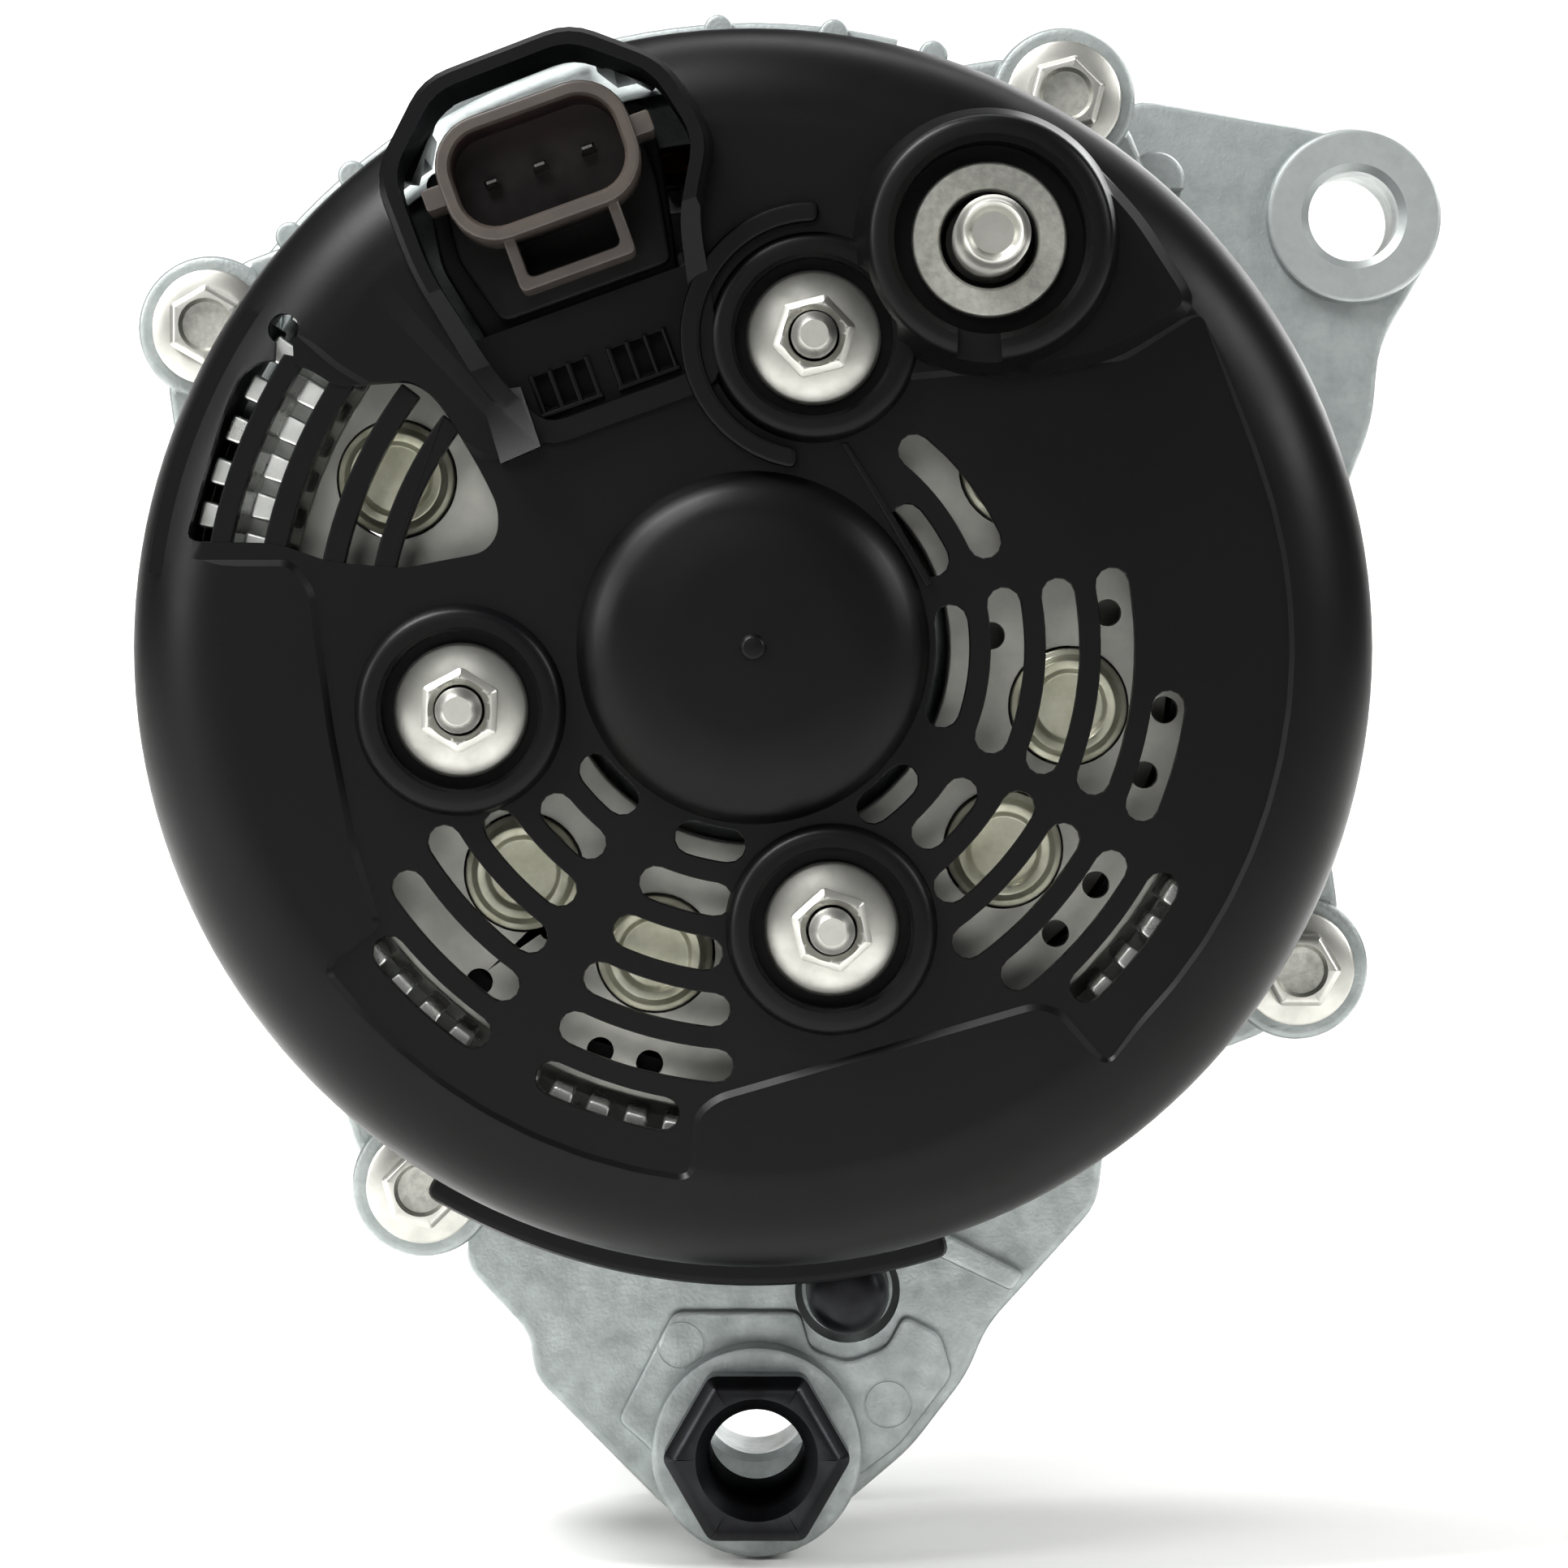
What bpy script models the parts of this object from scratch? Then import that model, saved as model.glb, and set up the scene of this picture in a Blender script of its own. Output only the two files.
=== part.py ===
"""Car alternator, as an assembly of separate pieces.

Frame: metres, +Z up as the alternator is bolted to an engine. The rotor shaft lies along Y with
the pulley at +Y and the plastic rear cover at -Y. The origin is the centre of the shaft's front
end face, so every axial station below is a negative y. Dimensions are written in millimetres
and turned to metres by MM.
"""

import math

import bmesh
import bpy
from mathutils import Matrix, Vector

MM = 0.001
GAP = 0.3                      # air left between pieces that touch on the real machine

# ---- axial stations, in mm behind the shaft's front end face -------------------------------
PULLEY_FRONT, PULLEY_REAR = -4.0, -34.0
NOSE_FRONT = -38.0             # front face of the drive-end frame
FRONT_BEARING = (-55.0, -41.0)
FRONT_JOINT = -84.0            # where the front frame ends and the bare core begins
FRONT_LUG_FRONT = -70.0
CORE = (-112.0, -80.0)
REAR_JOINT = -108.0
REAR_LUG_REAR = -128.0         # seat of the through-bolt heads
REAR_PLATE = (-135.0, -131.0)
REAR_BEARING = (-137.0, -126.0)
NEGATIVE_PLATE = (-140.0, -137.5)
POSITIVE_PLATE = (-152.0, -149.0)
COVER_RIM = -129.0
COVER_FACE = -164.0
COVER_INNER_FACE = -161.8
HUB_FACE = -168.0
CUP_RIM = -172.5
CHIMNEY_RIM = -171.0
NUT_SEAT = -160.5

# ---- radii and places across the axis, in mm -----------------------------------------------
CORE_OUTER, CORE_BORE = 66.4, 52.0
FRAME_OUTER, FRAME_SPIGOT, FRAME_INNER = 70.5, 67.0, 64.5
CROWN_OUTER, CROWN_ARC = 72.0, (66.0, 144.0)   # the rear frame stands proud between its upper lugs
CROWN_RIBS, CROWN_RIB_RADIUS = (93.2, 82.5, 73.1), 1.7
POLE_RADIUS = 51.4
SLOT_COUNT, FINGER_COUNT = 36, 6
BOLT_CIRCLE = 71.5
BOLT_ANGLES = (60.5, 149.5, 238.5, 329.5)
COVER_OUTER, COVER_INNER = 67.5, 65.2
PIVOT = (0.4, -91.3)           # lower mounting axis, M12
EAR = (72.8, 52.3)             # upper mounting axis, M10
EAR_BORE, PIVOT_BORE, BUSH_BORE = 5.4, 6.4, 5.4
STUDS = ((6.5, 33.3), (-31.4, -6.7), (8.4, -30.2))
B_PLUS = (25.1, 43.4)
REGULATOR_TILT = 20.0          # the regulator and its brushes lean this far left of upright
SCREW_ANGLES = (90.0, 210.0, 330.0)
DIODES = ((35.0, -10.5), (35.0, -38.8), (35.0, -107.8), (35.0, -135.6), (43.0, 154.7), (35.0, 34.0))
PLATE_ARC = (-222.0, 60.0)     # the rectifier's plates leave the regulator's side open
SLIP_RINGS = ((-149.0, -142.5), (-158.0, -151.5))

MATERIALS = {
    "cast_aluminium": ((0.53, 0.54, 0.53), 0.45, 0.9),
    "black_nylon": ((0.018, 0.018, 0.019), 0.5, 0.0),
    "zinc_steel": ((0.70, 0.70, 0.66), 0.3, 1.0),
    "black_steel": ((0.03, 0.03, 0.03), 0.4, 0.8),
    "bearing_steel": ((0.62, 0.62, 0.63), 0.25, 1.0),
    "core_steel": ((0.26, 0.26, 0.27), 0.5, 0.9),
    "copper": ((0.55, 0.22, 0.10), 0.35, 0.9),
    "sheet_aluminium": ((0.60, 0.61, 0.58), 0.4, 1.0),
    "grey_plastic": ((0.20, 0.17, 0.14), 0.45, 0.0),
    "carbon": ((0.05, 0.05, 0.05), 0.6, 0.2),
}


# ---- geometry helpers ----------------------------------------------------------------------
def polar(radius, degrees, centre=(0.0, 0.0)):
    """The point at this radius and angle, where 0 degrees is +X and 90 degrees is +Z."""
    angle = math.radians(degrees)
    return (centre[0] + radius * math.cos(angle), centre[1] + radius * math.sin(angle))


def arc(radius, start, end, steps, centre=(0.0, 0.0)):
    """Points of an arc, both ends included."""
    return [polar(radius, start + (end - start) * i / steps, centre) for i in range(steps + 1)]


def circle(radius, sides, centre=(0.0, 0.0), turn=0.0):
    """Points of a closed regular polygon."""
    return [polar(radius, turn + 360.0 * i / sides, centre) for i in range(sides)]


def around(radius, sides, centre=(0.0, 0.0), turn=0.0):
    """A polygon whose sides just clear a circle of this radius, for the hole round a pin."""
    return circle(radius / math.cos(math.pi / sides), sides, centre, turn)


def sector(inner, outer, start, end, steps):
    """Outline of a piece of a ring."""
    return arc(outer, start, end, steps) + arc(inner, end, start, steps)


def curved_slot(radius, width, start, end, steps=2):
    """Outline of a slot along an arc, with blunt round ends."""
    half = width / 2
    outline = arc(radius + half, start, end, steps) + [polar(half, end + 90, polar(radius, end))]
    outline += arc(radius - half, end, start, steps)
    return outline + [polar(half, start - 90, polar(radius, start))]


def tilted(outline):
    """Turns an outline drawn square to the regulator into the alternator's own frame."""
    angle = math.radians(REGULATOR_TILT)
    c, s = math.cos(angle), math.sin(angle)
    return [(t * c - u * s, t * s + u * c) for t, u in outline]


def rounded_box(width, height, corner, centre, steps=2):
    """Outline of a rectangle with round corners."""
    points = []
    for sx, sy, start in ((1, 1, 0), (-1, 1, 90), (-1, -1, 180), (1, -1, 270)):
        at = (centre[0] + sx * (width / 2 - corner), centre[1] + sy * (height / 2 - corner))
        points += arc(corner, start, start + 90, steps, at)
    return points


def box_outline(left, right, bottom, top):
    return [(left, bottom), (right, bottom), (right, top), (left, top)]


def finish_mesh(bm, name):
    """Closes, orients and links a bmesh as a new object."""
    bmesh.ops.remove_doubles(bm, verts=bm.verts, dist=1e-7)
    bmesh.ops.recalc_face_normals(bm, faces=bm.faces)
    mesh = bpy.data.meshes.new(name)
    bm.to_mesh(mesh)
    bm.free()
    obj = bpy.data.objects.new(name, mesh)
    bpy.context.scene.collection.objects.link(obj)
    return obj


def lathe(name, profile, sides, turn=0.0):
    """Turns a closed profile of (radius, y) points round the Y axis, from this start angle."""
    c, s = math.cos(math.radians(turn)), math.sin(math.radians(turn))
    bm = bmesh.new()
    verts = [bm.verts.new((radius * c * MM, y * MM, radius * s * MM)) for radius, y in profile]
    loop = zip(verts, verts[1:] + verts[:1], profile, profile[1:] + profile[:1])
    edges = [bm.edges.new((a, b)) for a, b, start, end in loop if start[0] > 0 or end[0] > 0]
    bmesh.ops.spin(
        bm, geom=verts + edges, cent=(0, 0, 0), axis=(0, 1, 0),
        angle=2 * math.pi, steps=sides, use_merge=True,
    )
    return finish_mesh(bm, name)


def prisms(name, outlines, y_low, y_high):
    """Extrudes outlines of (x, z) points along Y, each into its own closed body."""
    bm = bmesh.new()
    for outline in outlines:
        face = bm.faces.new([bm.verts.new((x * MM, y_low * MM, z * MM)) for x, z in outline])
        made = bmesh.ops.extrude_face_region(bm, geom=[face])
        moved = [v for v in made["geom"] if isinstance(v, bmesh.types.BMVert)]
        bmesh.ops.translate(bm, verts=moved, vec=(0, (y_high - y_low) * MM, 0))
    return finish_mesh(bm, name)


def prism(name, outline, y_low, y_high):
    return prisms(name, [outline], y_low, y_high)


def hull(name, points):
    """The convex solid round some points."""
    bm = bmesh.new()
    for point in points:
        bm.verts.new(Vector(point) * MM)
    bmesh.ops.convex_hull(bm, input=bm.verts)
    loose = [v for v in bm.verts if not v.link_faces]
    bmesh.ops.delete(bm, geom=loose, context="VERTS")
    return finish_mesh(bm, name)


def boolean(target, tool, operation):
    """Applies a Boolean and removes the tool."""
    modifier = target.modifiers.new("shape", "BOOLEAN")
    modifier.operation = operation
    modifier.solver = "EXACT"
    modifier.object = tool
    graph = bpy.context.evaluated_depsgraph_get()
    shaped = bpy.data.meshes.new_from_object(target.evaluated_get(graph))
    target.modifiers.clear()
    target.data = shaped
    bpy.data.objects.remove(tool)
    return target


def cut(target, *tools):
    for tool in tools:
        boolean(target, tool, "DIFFERENCE")
    return target


def join(target, *tools):
    for tool in tools:
        boolean(target, tool, "UNION")
    return target


def shifted(obj, x=0.0, y=0.0, z=0.0):
    """Moves an object's mesh, in mm."""
    obj.data.transform(Matrix.Translation(Vector((x, y, z)) * MM))
    return obj


def turned(obj, degrees):
    """Turns an object's mesh round the shaft axis, from +X towards +Z."""
    obj.data.transform(Matrix.Rotation(math.radians(-degrees), 4, "Y"))
    return obj


def radial_boxes(name, count, inner, outer, width, y_low, y_high, first=0.0):
    """Boxes that point outwards, spaced evenly round the axis."""
    outlines = []
    for i in range(count):
        turn = math.radians(first + 360.0 * i / count)
        c, s = math.cos(turn), math.sin(turn)
        corners = box_outline(inner, outer, -width / 2, width / 2)
        outlines.append([(x * c - z * s, x * s + z * c) for x, z in corners])
    return prisms(name, outlines, y_low, y_high)


def place(obj, name, material, axis=None):
    """Names the finished piece, sets its origin, and gives it its material and smooth shading.

    A piece that turns has its origin on the shaft and the axis it turns on as its parent. Every
    other piece has its origin at its own middle.
    """
    corners = [Vector(corner) for corner in obj.bound_box]
    middle = sum(corners, Vector()) / len(corners)
    if axis:
        middle.x = middle.z = 0.0
        obj.parent = bpy.data.objects[axis]
    obj.data.transform(Matrix.Translation(-middle))
    obj.location = middle
    obj.name = name
    obj.data.name = name
    obj.data.materials.clear()
    obj.data.materials.append(bpy.data.materials[material])
    obj.data.shade_smooth()
    obj.data.set_sharp_from_angle(angle=math.radians(32))
    return obj


def make_materials():
    for name, (colour, roughness, metallic) in MATERIALS.items():
        material = bpy.data.materials.new(name)
        material.use_nodes = True
        shader = material.node_tree.nodes["Principled BSDF"]
        shader.inputs["Base Color"].default_value = (*colour, 1.0)
        shader.inputs["Roughness"].default_value = roughness
        shader.inputs["Metallic"].default_value = metallic


# ---- castings ------------------------------------------------------------------------------
def frame_lugs(y_low, y_high, radius):
    """The four through-bolt lugs with the webs that carry them."""
    lugs = None
    for angle in BOLT_ANGLES:
        lug = prism("lug", circle(radius, 12, polar(BOLT_CIRCLE, angle), angle), y_low, y_high)
        web = [(64.0, -12.0), (69.0, -12.0), (73.0, -7.0), (73.0, 7.0), (69.0, 12.0), (64.0, 12.0)]
        lug = join(lug, turned(prism("web", web, y_low + 1.0, y_high - 1.0), angle))
        lugs = join(lugs, lug) if lugs else lug
    return lugs


def bolt_holes(y_low, y_high):
    return prisms(
        "holes", [around(3.3, 10, polar(BOLT_CIRCLE, a)) for a in BOLT_ANGLES], y_low, y_high
    )


def air_windows(inner, outer, count, share, y_low, y_high, first=0.0):
    """Cutters for the windows between spokes in a frame's end wall."""
    step = 360.0 / count
    outlines = [
        sector(inner, outer, first + i * step - share / 2, first + i * step + share / 2, 2)
        for i in range(count)
    ]
    return prisms("windows", outlines, y_low, y_high)


def make_front_frame():
    """Drive-end frame: bearing nose, bell with air windows, bolt lugs and both mounting ears."""
    outside = [
        (0, NOSE_FRONT), (27.5, NOSE_FRONT), (31.0, -50.0), (48.0, -53.0), (65.0, -59.5),
        (FRAME_OUTER, -69.0), (FRAME_OUTER, FRONT_JOINT), (0, FRONT_JOINT),
    ]
    inside = [
        (0, -95.0), (FRAME_SPIGOT, -95.0), (FRAME_SPIGOT, -79.7), (FRAME_INNER, -79.7),
        (FRAME_INNER, -70.5), (58.5, -61.5), (34.0, -55.5), (23.8, -55.5),
        (23.8, FRONT_BEARING[1] + GAP), (17.0, FRONT_BEARING[1] + GAP), (17.0, -30.0), (0, -30.0),
    ]
    frame = lathe("front_frame", outside, 30)
    join(frame, frame_lugs(FRONT_JOINT - 0.6, -66.0, 8.0))
    ear = [(38.0, 59.0), (45.5, 66.8), (70.1, 62.6), (79.6, 59.8), (82.9, 48.5), (80.4, 44.1),
           (76.0, 36.7), (75.3, 27.4), (69.5, 13.0), (65.5, 20.0), (55.0, 40.0)]
    join(frame, prism("ear", ear, FRONT_JOINT + 0.6, FRONT_LUG_FRONT))
    join(frame, prism("ear_land", circle(10.7, 20, EAR), FRONT_JOINT - 1.2, FRONT_LUG_FRONT + 1.0))
    foot = [(-34.0, -55.0), (-25.0, -80.0), (-11.5, -92.5), (12.0, -92.5), (25.0, -80.0),
            (36.0, -55.0)]
    join(frame, prism("foot", foot, FRONT_JOINT + 0.6, FRONT_LUG_FRONT))
    join(frame, prism("foot_end", circle(12.2, 20, PIVOT), FRONT_JOINT - 1.2, FRONT_LUG_FRONT + 1.0))
    cut(frame, lathe("inside", inside, 30, 6.0))
    cut(frame, air_windows(35.0, 58.5, 8, 27.0, -66.0, -48.0, 17.0))
    cut(frame, radial_boxes("vents", 10, 60.0, 75.0, 9.0, -78.0, -67.5, 1.0))
    cut(frame, prism("ear_bore", circle(EAR_BORE, 20, EAR, 4.0), -90, -60))
    cut(frame, prism("pivot_bore", circle(PIVOT_BORE, 20, PIVOT, 4.0), -90, -60))
    cut(frame, bolt_holes(-90, -60))
    cut(frame, prisms("holes", [circle(1.9, 8, polar(27.6, a)) for a in SCREW_ANGLES], -57, -47))
    return place(frame, "front_frame", "cast_aluminium")


def make_rear_frame():
    """Slip-ring-end frame: bearing seat, vented plate, bolt lugs and the bush's bracket."""
    outside = [
        (0, REAR_JOINT), (FRAME_OUTER, REAR_JOINT), (FRAME_OUTER, -121.0), (64.6, -127.3),
        (63.0, -134.0), (62.0, REAR_PLATE[0]), (21.5, REAR_PLATE[0]), (21.5, -139.0), (0, -139.0),
    ]
    inside = [
        (0, -95.0), (FRAME_SPIGOT, -95.0), (FRAME_SPIGOT, -112.3), (FRAME_INNER, -112.3),
        (FRAME_INNER, -122.0), (61.5, -127.5), (59.0, REAR_PLATE[1]), (21.5, REAR_PLATE[1]),
        (21.5, -124.5), (17.8, -124.5), (17.8, REAR_BEARING[0] - GAP),
        (13.0, REAR_BEARING[0] - GAP), (13.0, -150.0), (0, -150.0),
    ]
    frame = lathe("rear_frame", outside, 30)
    join(frame, prisms("bosses", [circle(5.6, 10, at) for at in STUDS], -137.2, -133.0))
    join(frame, frame_lugs(REAR_LUG_REAR, REAR_JOINT + 0.6, 8.2))
    bracket = [(-44.0, -52.5), (-32.5, -66.6), (-33.0, -70.8), (-25.5, -78.7), (-25.2, -83.4),
               (-9.0, -99.6), (9.5, -99.0), (18.0, -91.8), (24.5, -83.4), (26.8, -77.8),
               (39.5, -63.8), (40.5, -54.5)]
    join(frame, prism("bracket", bracket, -122.0, REAR_JOINT - 0.6))
    crown = sector(68.6, CROWN_OUTER, *CROWN_ARC, 14)
    join(frame, prism("crown", crown, -120.4, REAR_JOINT - 0.6))
    for angle in CROWN_RIBS:
        rib = circle(CROWN_RIB_RADIUS, 10, polar(CROWN_OUTER - 0.8, angle), 7.0)
        join(frame, prism("crown_rib", rib, -121.3, REAR_JOINT - 0.9))
    join(frame, prism("bush_boss", circle(12.0, 20, PIVOT), REAR_LUG_REAR, REAR_JOINT + 1.2))
    join(frame, prism("post", circle(4.8, 12, (10.8, -73.5)), -129.0, -120.0))
    cut(frame, lathe("inside", inside, 30, 6.0))
    cut(frame, air_windows(25.0, 57.0, 8, 27.0, -140.0, -126.0, 17.0))
    cut(frame, radial_boxes("vents", 10, 60.0, 75.0, 9.0, -120.5, -113.5, 1.0))
    cut(frame, prism("bush_bore", around(8.5, 20, PIVOT, 4.0), -140, -100))
    cut(frame, bolt_holes(-140, -100))
    cut(frame, prisms("stud_holes", [around(2.8, 8, at) for at in STUDS], -140, -126))
    return place(frame, "rear_frame", "cast_aluminium")


def make_through_bolts():
    """Long flanged bolts that clamp the two frames on the core."""
    for number, angle in enumerate(BOLT_ANGLES, 1):
        at = polar(BOLT_CIRCLE, angle)
        seat = REAR_LUG_REAR - GAP
        bolt = prism("bolt", circle(3.0, 10, at), seat - 1.0, -68.0)
        join(bolt, prism("flange", circle(6.5, 16, at), seat - 1.6, seat))
        join(bolt, prism("head", circle(4.6, 6, at, 15.0 * number), seat - 6.0, seat - 0.7))
        place(bolt, f"through_bolt_{number}", "zinc_steel")


def make_pivot_bush():
    """Threaded steel bush with a hexagon head, pressed into the rear frame's bracket."""
    bush = prism("bush", circle(8.2, 20, PIVOT, 4.0), REAR_LUG_REAR - 1.0, -110.0)
    hexagon = [p for a in range(0, 360, 60) for p in
               (polar(10.7, a - 4, PIVOT), polar(10.7, a + 4, PIVOT))]
    join(bush, prism("hexagon", hexagon, -134.5, REAR_LUG_REAR - GAP))
    cut(bush, prism("bore", circle(BUSH_BORE, 20, PIVOT, 9.0), -140, -100))
    place(bush, "pivot_bush", "black_steel")


# ---- stator --------------------------------------------------------------------------------
def make_stator_core():
    """Laminated ring whose teeth leave an open slot for each pair of hairpin legs."""
    bm = bmesh.new()
    step = 360.0 / SLOT_COUNT
    half = step / 2 - math.degrees(1.7 / 56.5)
    ring = []
    for i in range(SLOT_COUNT):
        ring.append([
            polar(radius, i * step + side)
            for radius in (CORE_BORE, 61.0, CORE_OUTER) for side in (-half, half)
        ])
    verts = [[bm.verts.new((x * MM, CORE[0] * MM, z * MM)) for x, z in tooth] for tooth in ring]
    for i, tooth in enumerate(verts):
        following = verts[(i + 1) % SLOT_COUNT]
        bm.faces.new((tooth[0], tooth[1], tooth[3], tooth[2]))
        bm.faces.new((tooth[2], tooth[3], tooth[5], tooth[4]))
        bm.faces.new((tooth[3], following[2], following[4], tooth[5]))
    made = bmesh.ops.extrude_face_region(bm, geom=bm.faces[:])
    moved = [v for v in made["geom"] if isinstance(v, bmesh.types.BMVert)]
    bmesh.ops.translate(bm, verts=moved, vec=(0, (CORE[1] - CORE[0]) * MM, 0))
    place(finish_mesh(bm, "stator_core"), "stator_core", "core_steel")


def make_stator_winding():
    """Hairpin winding: a crown at each end of the core, joined by the legs in its slots."""
    winding = radial_boxes(
        "stator_winding", SLOT_COUNT, 54.2, 60.4, 2.6, CORE[0] - 2.0, CORE[1] + 2.0,
        180.0 / SLOT_COUNT,
    )
    for low, high in ((-125.0, CORE[0] - GAP - 0.3), (CORE[1] + GAP + 0.3, -68.6)):
        crown = [(53.4, low), (62.2, low), (62.2, high), (53.4, high)]
        join(winding, lathe("crown", crown, 30, 3.0))
    place(winding, "stator_winding", "copper")


# ---- rotor ---------------------------------------------------------------------------------
def make_shaft():
    profile = [
        (0, 0), (7.2, 0), (8.0, -0.8), (8.0, -13.0), (8.5, -13.5), (8.5, -58.0), (10.5, -58.5),
        (10.5, -118.0), (7.5, -118.5), (7.5, -139.5), (6.0, -140.0), (6.0, -160.0), (0, -160.0),
    ]
    place(lathe("rotor_shaft", profile, 20), "rotor_shaft", "bearing_steel", "rotor_axis")


def make_pole(name, y_root, direction, first):
    """One claw pole: disc, half hub and the fingers that reach over the field coil."""
    disc = []
    for i in range(FINGER_COUNT):
        middle = first + 360.0 * i / FINGER_COUNT
        disc += arc(47.5, middle - 9.5, middle + 9.5, 1)
        disc += arc(34.0, middle + 21.0, middle + 39.0, 2)
    tips = sorted((y_root, y_root + 8.0 * direction))
    pole = prism(name, disc, *tips)
    hub = sorted((y_root + 7.0 * direction, y_root + 17.8 * direction))
    join(pole, lathe("hub", [(0, hub[0]), (19.5, hub[0]), (19.5, hub[1]), (0, hub[1])], 24, 4.0))
    for i in range(FINGER_COUNT):
        middle = first + 360.0 * i / FINGER_COUNT
        corners = []
        for reach, inner, half in ((0.5, 43.7, 12.0), (9.0, 43.7, 12.0), (33.5, 47.6, 5.2)):
            y = y_root + reach * direction
            for radius in (inner, POLE_RADIUS):
                for side in (-half, 0.0, half):
                    x, z = polar(radius, middle + side)
                    corners.append((x, y, z))
        join(pole, hull("finger", corners))
    cut(pole, prism("bore", around(10.9, 20, (0.0, 0.0), 5.0), -130, -60))
    place(pole, name, "core_steel", "rotor_axis")


def make_field_coil():
    coil = [(20.0, -104.8), (42.6, -104.8), (42.6, -87.2), (20.0, -87.2)]
    place(lathe("field_coil", coil, 30), "field_coil", "copper", "rotor_axis")


def make_fan(name, y_disc, direction, blades):
    """Pressed-steel fan: a flat disc with blades bent up from its rim."""
    low, high = sorted((y_disc, y_disc + 1.2 * direction))
    fan = lathe(name, [(11.2, low), (47.0, low), (47.0, high), (11.2, high)], 24)
    for i in range(blades):
        turn = 360.0 * i / blades
        ends = (polar(32.0, turn), polar(47.6, turn + 14.0))
        across = Vector(ends[1]) - Vector(ends[0])
        side = Vector((-across.y, across.x)).normalized() * 0.7
        outline = [
            (ends[0][0] - side.x, ends[0][1] - side.y), (ends[1][0] - side.x, ends[1][1] - side.y),
            (ends[1][0] + side.x, ends[1][1] + side.y), (ends[0][0] + side.x, ends[0][1] + side.y),
        ]
        reach = sorted((y_disc + 0.4 * direction, y_disc + 7.2 * direction))
        join(fan, prism("blade", outline, *reach))
    place(fan, name, "zinc_steel", "rotor_axis")


def make_slip_rings():
    for number, (low, high) in enumerate(SLIP_RINGS, 1):
        ring = lathe("ring", [(6.4, low), (7.6, low), (7.6, high), (6.4, high)], 20)
        place(ring, f"slip_ring_{number}", "copper", "rotor_axis")


def make_pulley():
    """Ribbed-belt pulley with seven grooves at the standard 3.56 mm pitch."""
    pitch, crest, root, grooves = 3.56, 27.6, 24.9, 7
    first = (PULLEY_FRONT + PULLEY_REAR) / 2 + pitch * grooves / 2
    rim = [(8.9, -13.0), (17.5, -13.0), (19.5, PULLEY_FRONT), (28.6, PULLEY_FRONT),
           (28.6, first + 0.4)]
    for i in range(grooves):
        rim += [(crest, first - pitch * i), (root, first - pitch * (i + 0.5))]
    last = first - pitch * grooves
    rim += [(crest, last), (28.6, last - 0.4), (28.6, PULLEY_REAR + 1.0),
            (21.0, PULLEY_REAR + 1.0), (20.0, -21.0), (14.0, -19.0), (13.0, PULLEY_REAR),
            (8.9, PULLEY_REAR)]
    place(lathe("pulley", rim, 24), "pulley", "black_steel", "rotor_axis")


def make_pulley_nut():
    nut = prism("nut", circle(13.6, 6), -12.7, -4.5)
    join(nut, lathe("flange", [(0, -12.7), (14.6, -12.7), (14.6, -10.9), (0, -9.0)], 20, 4.0))
    cut(nut, prism("bore", around(8.3, 16, (0.0, 0.0), 7.0), -20, 0))
    place(nut, "pulley_nut", "zinc_steel", "rotor_axis")


def make_collar():
    """Spacer between the pulley's hub and the front bearing's inner ring."""
    collar = [(8.8, -40.7), (12.2, -40.7), (13.2, -38.0), (13.2, PULLEY_REAR - GAP),
              (8.8, PULLEY_REAR - GAP)]
    place(lathe("collar", collar, 20), "shaft_collar", "zinc_steel", "rotor_axis")


# ---- bearings ------------------------------------------------------------------------------
def make_bearing(prefix, y_span, bore, inner, outer, rim, ball, balls):
    """Deep-groove ball bearing: inner ring, outer ring and a cage that carries the balls."""
    low, high = y_span
    middle, pitch = (low + high) / 2, (inner + outer) / 2
    for name, r_in, r_out in (("inner_ring", bore, inner), ("outer_ring", outer, rim)):
        ring = lathe("ring", [(r_in, low), (r_out, low), (r_out, high), (r_in, high)], 24)
        place(ring, f"{prefix}_{name}", "bearing_steel", "rotor_axis" if name == "inner_ring" else None)
    band = [(pitch - 0.9, middle - 1.2), (pitch + 0.9, middle - 1.2),
            (pitch + 0.9, middle + 1.2), (pitch - 0.9, middle + 1.2)]
    cage = lathe("cage", band, 2 * balls, 90.0 / balls)
    for i in range(balls):
        x, z = polar(pitch, 360.0 * i / balls)
        bm = bmesh.new()
        bmesh.ops.create_uvsphere(bm, u_segments=6, v_segments=4, radius=ball * MM)
        join(cage, shifted(finish_mesh(bm, "ball"), x, middle, z))
    place(cage, f"{prefix}_ball_cage", "bearing_steel", f"{prefix}_cage_axis")


def make_retainer():
    """Plate that holds the front bearing in its seat, with its three screws."""
    plate = lathe("plate", [(15.0, -57.8), (31.5, -57.8), (31.5, -55.8), (15.0, -55.8)], 24)
    places = [polar(27.6, a) for a in SCREW_ANGLES]
    cut(plate, prisms("holes", [circle(2.2, 8, at) for at in places], -60, -50))
    place(plate, "bearing_retainer", "zinc_steel")
    for number, at in enumerate(places, 1):
        screw = prism("screw", circle(1.6, 8, at), -59.0, -49.0)
        join(screw, prism("head", circle(3.6, 12, at), -60.2, -58.1))
        place(screw, f"retainer_screw_{number}", "zinc_steel")


# ---- rectifier, regulator and brushes ------------------------------------------------------
def diode_places():
    return [polar(radius, angle) for radius, angle in DIODES]


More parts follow.
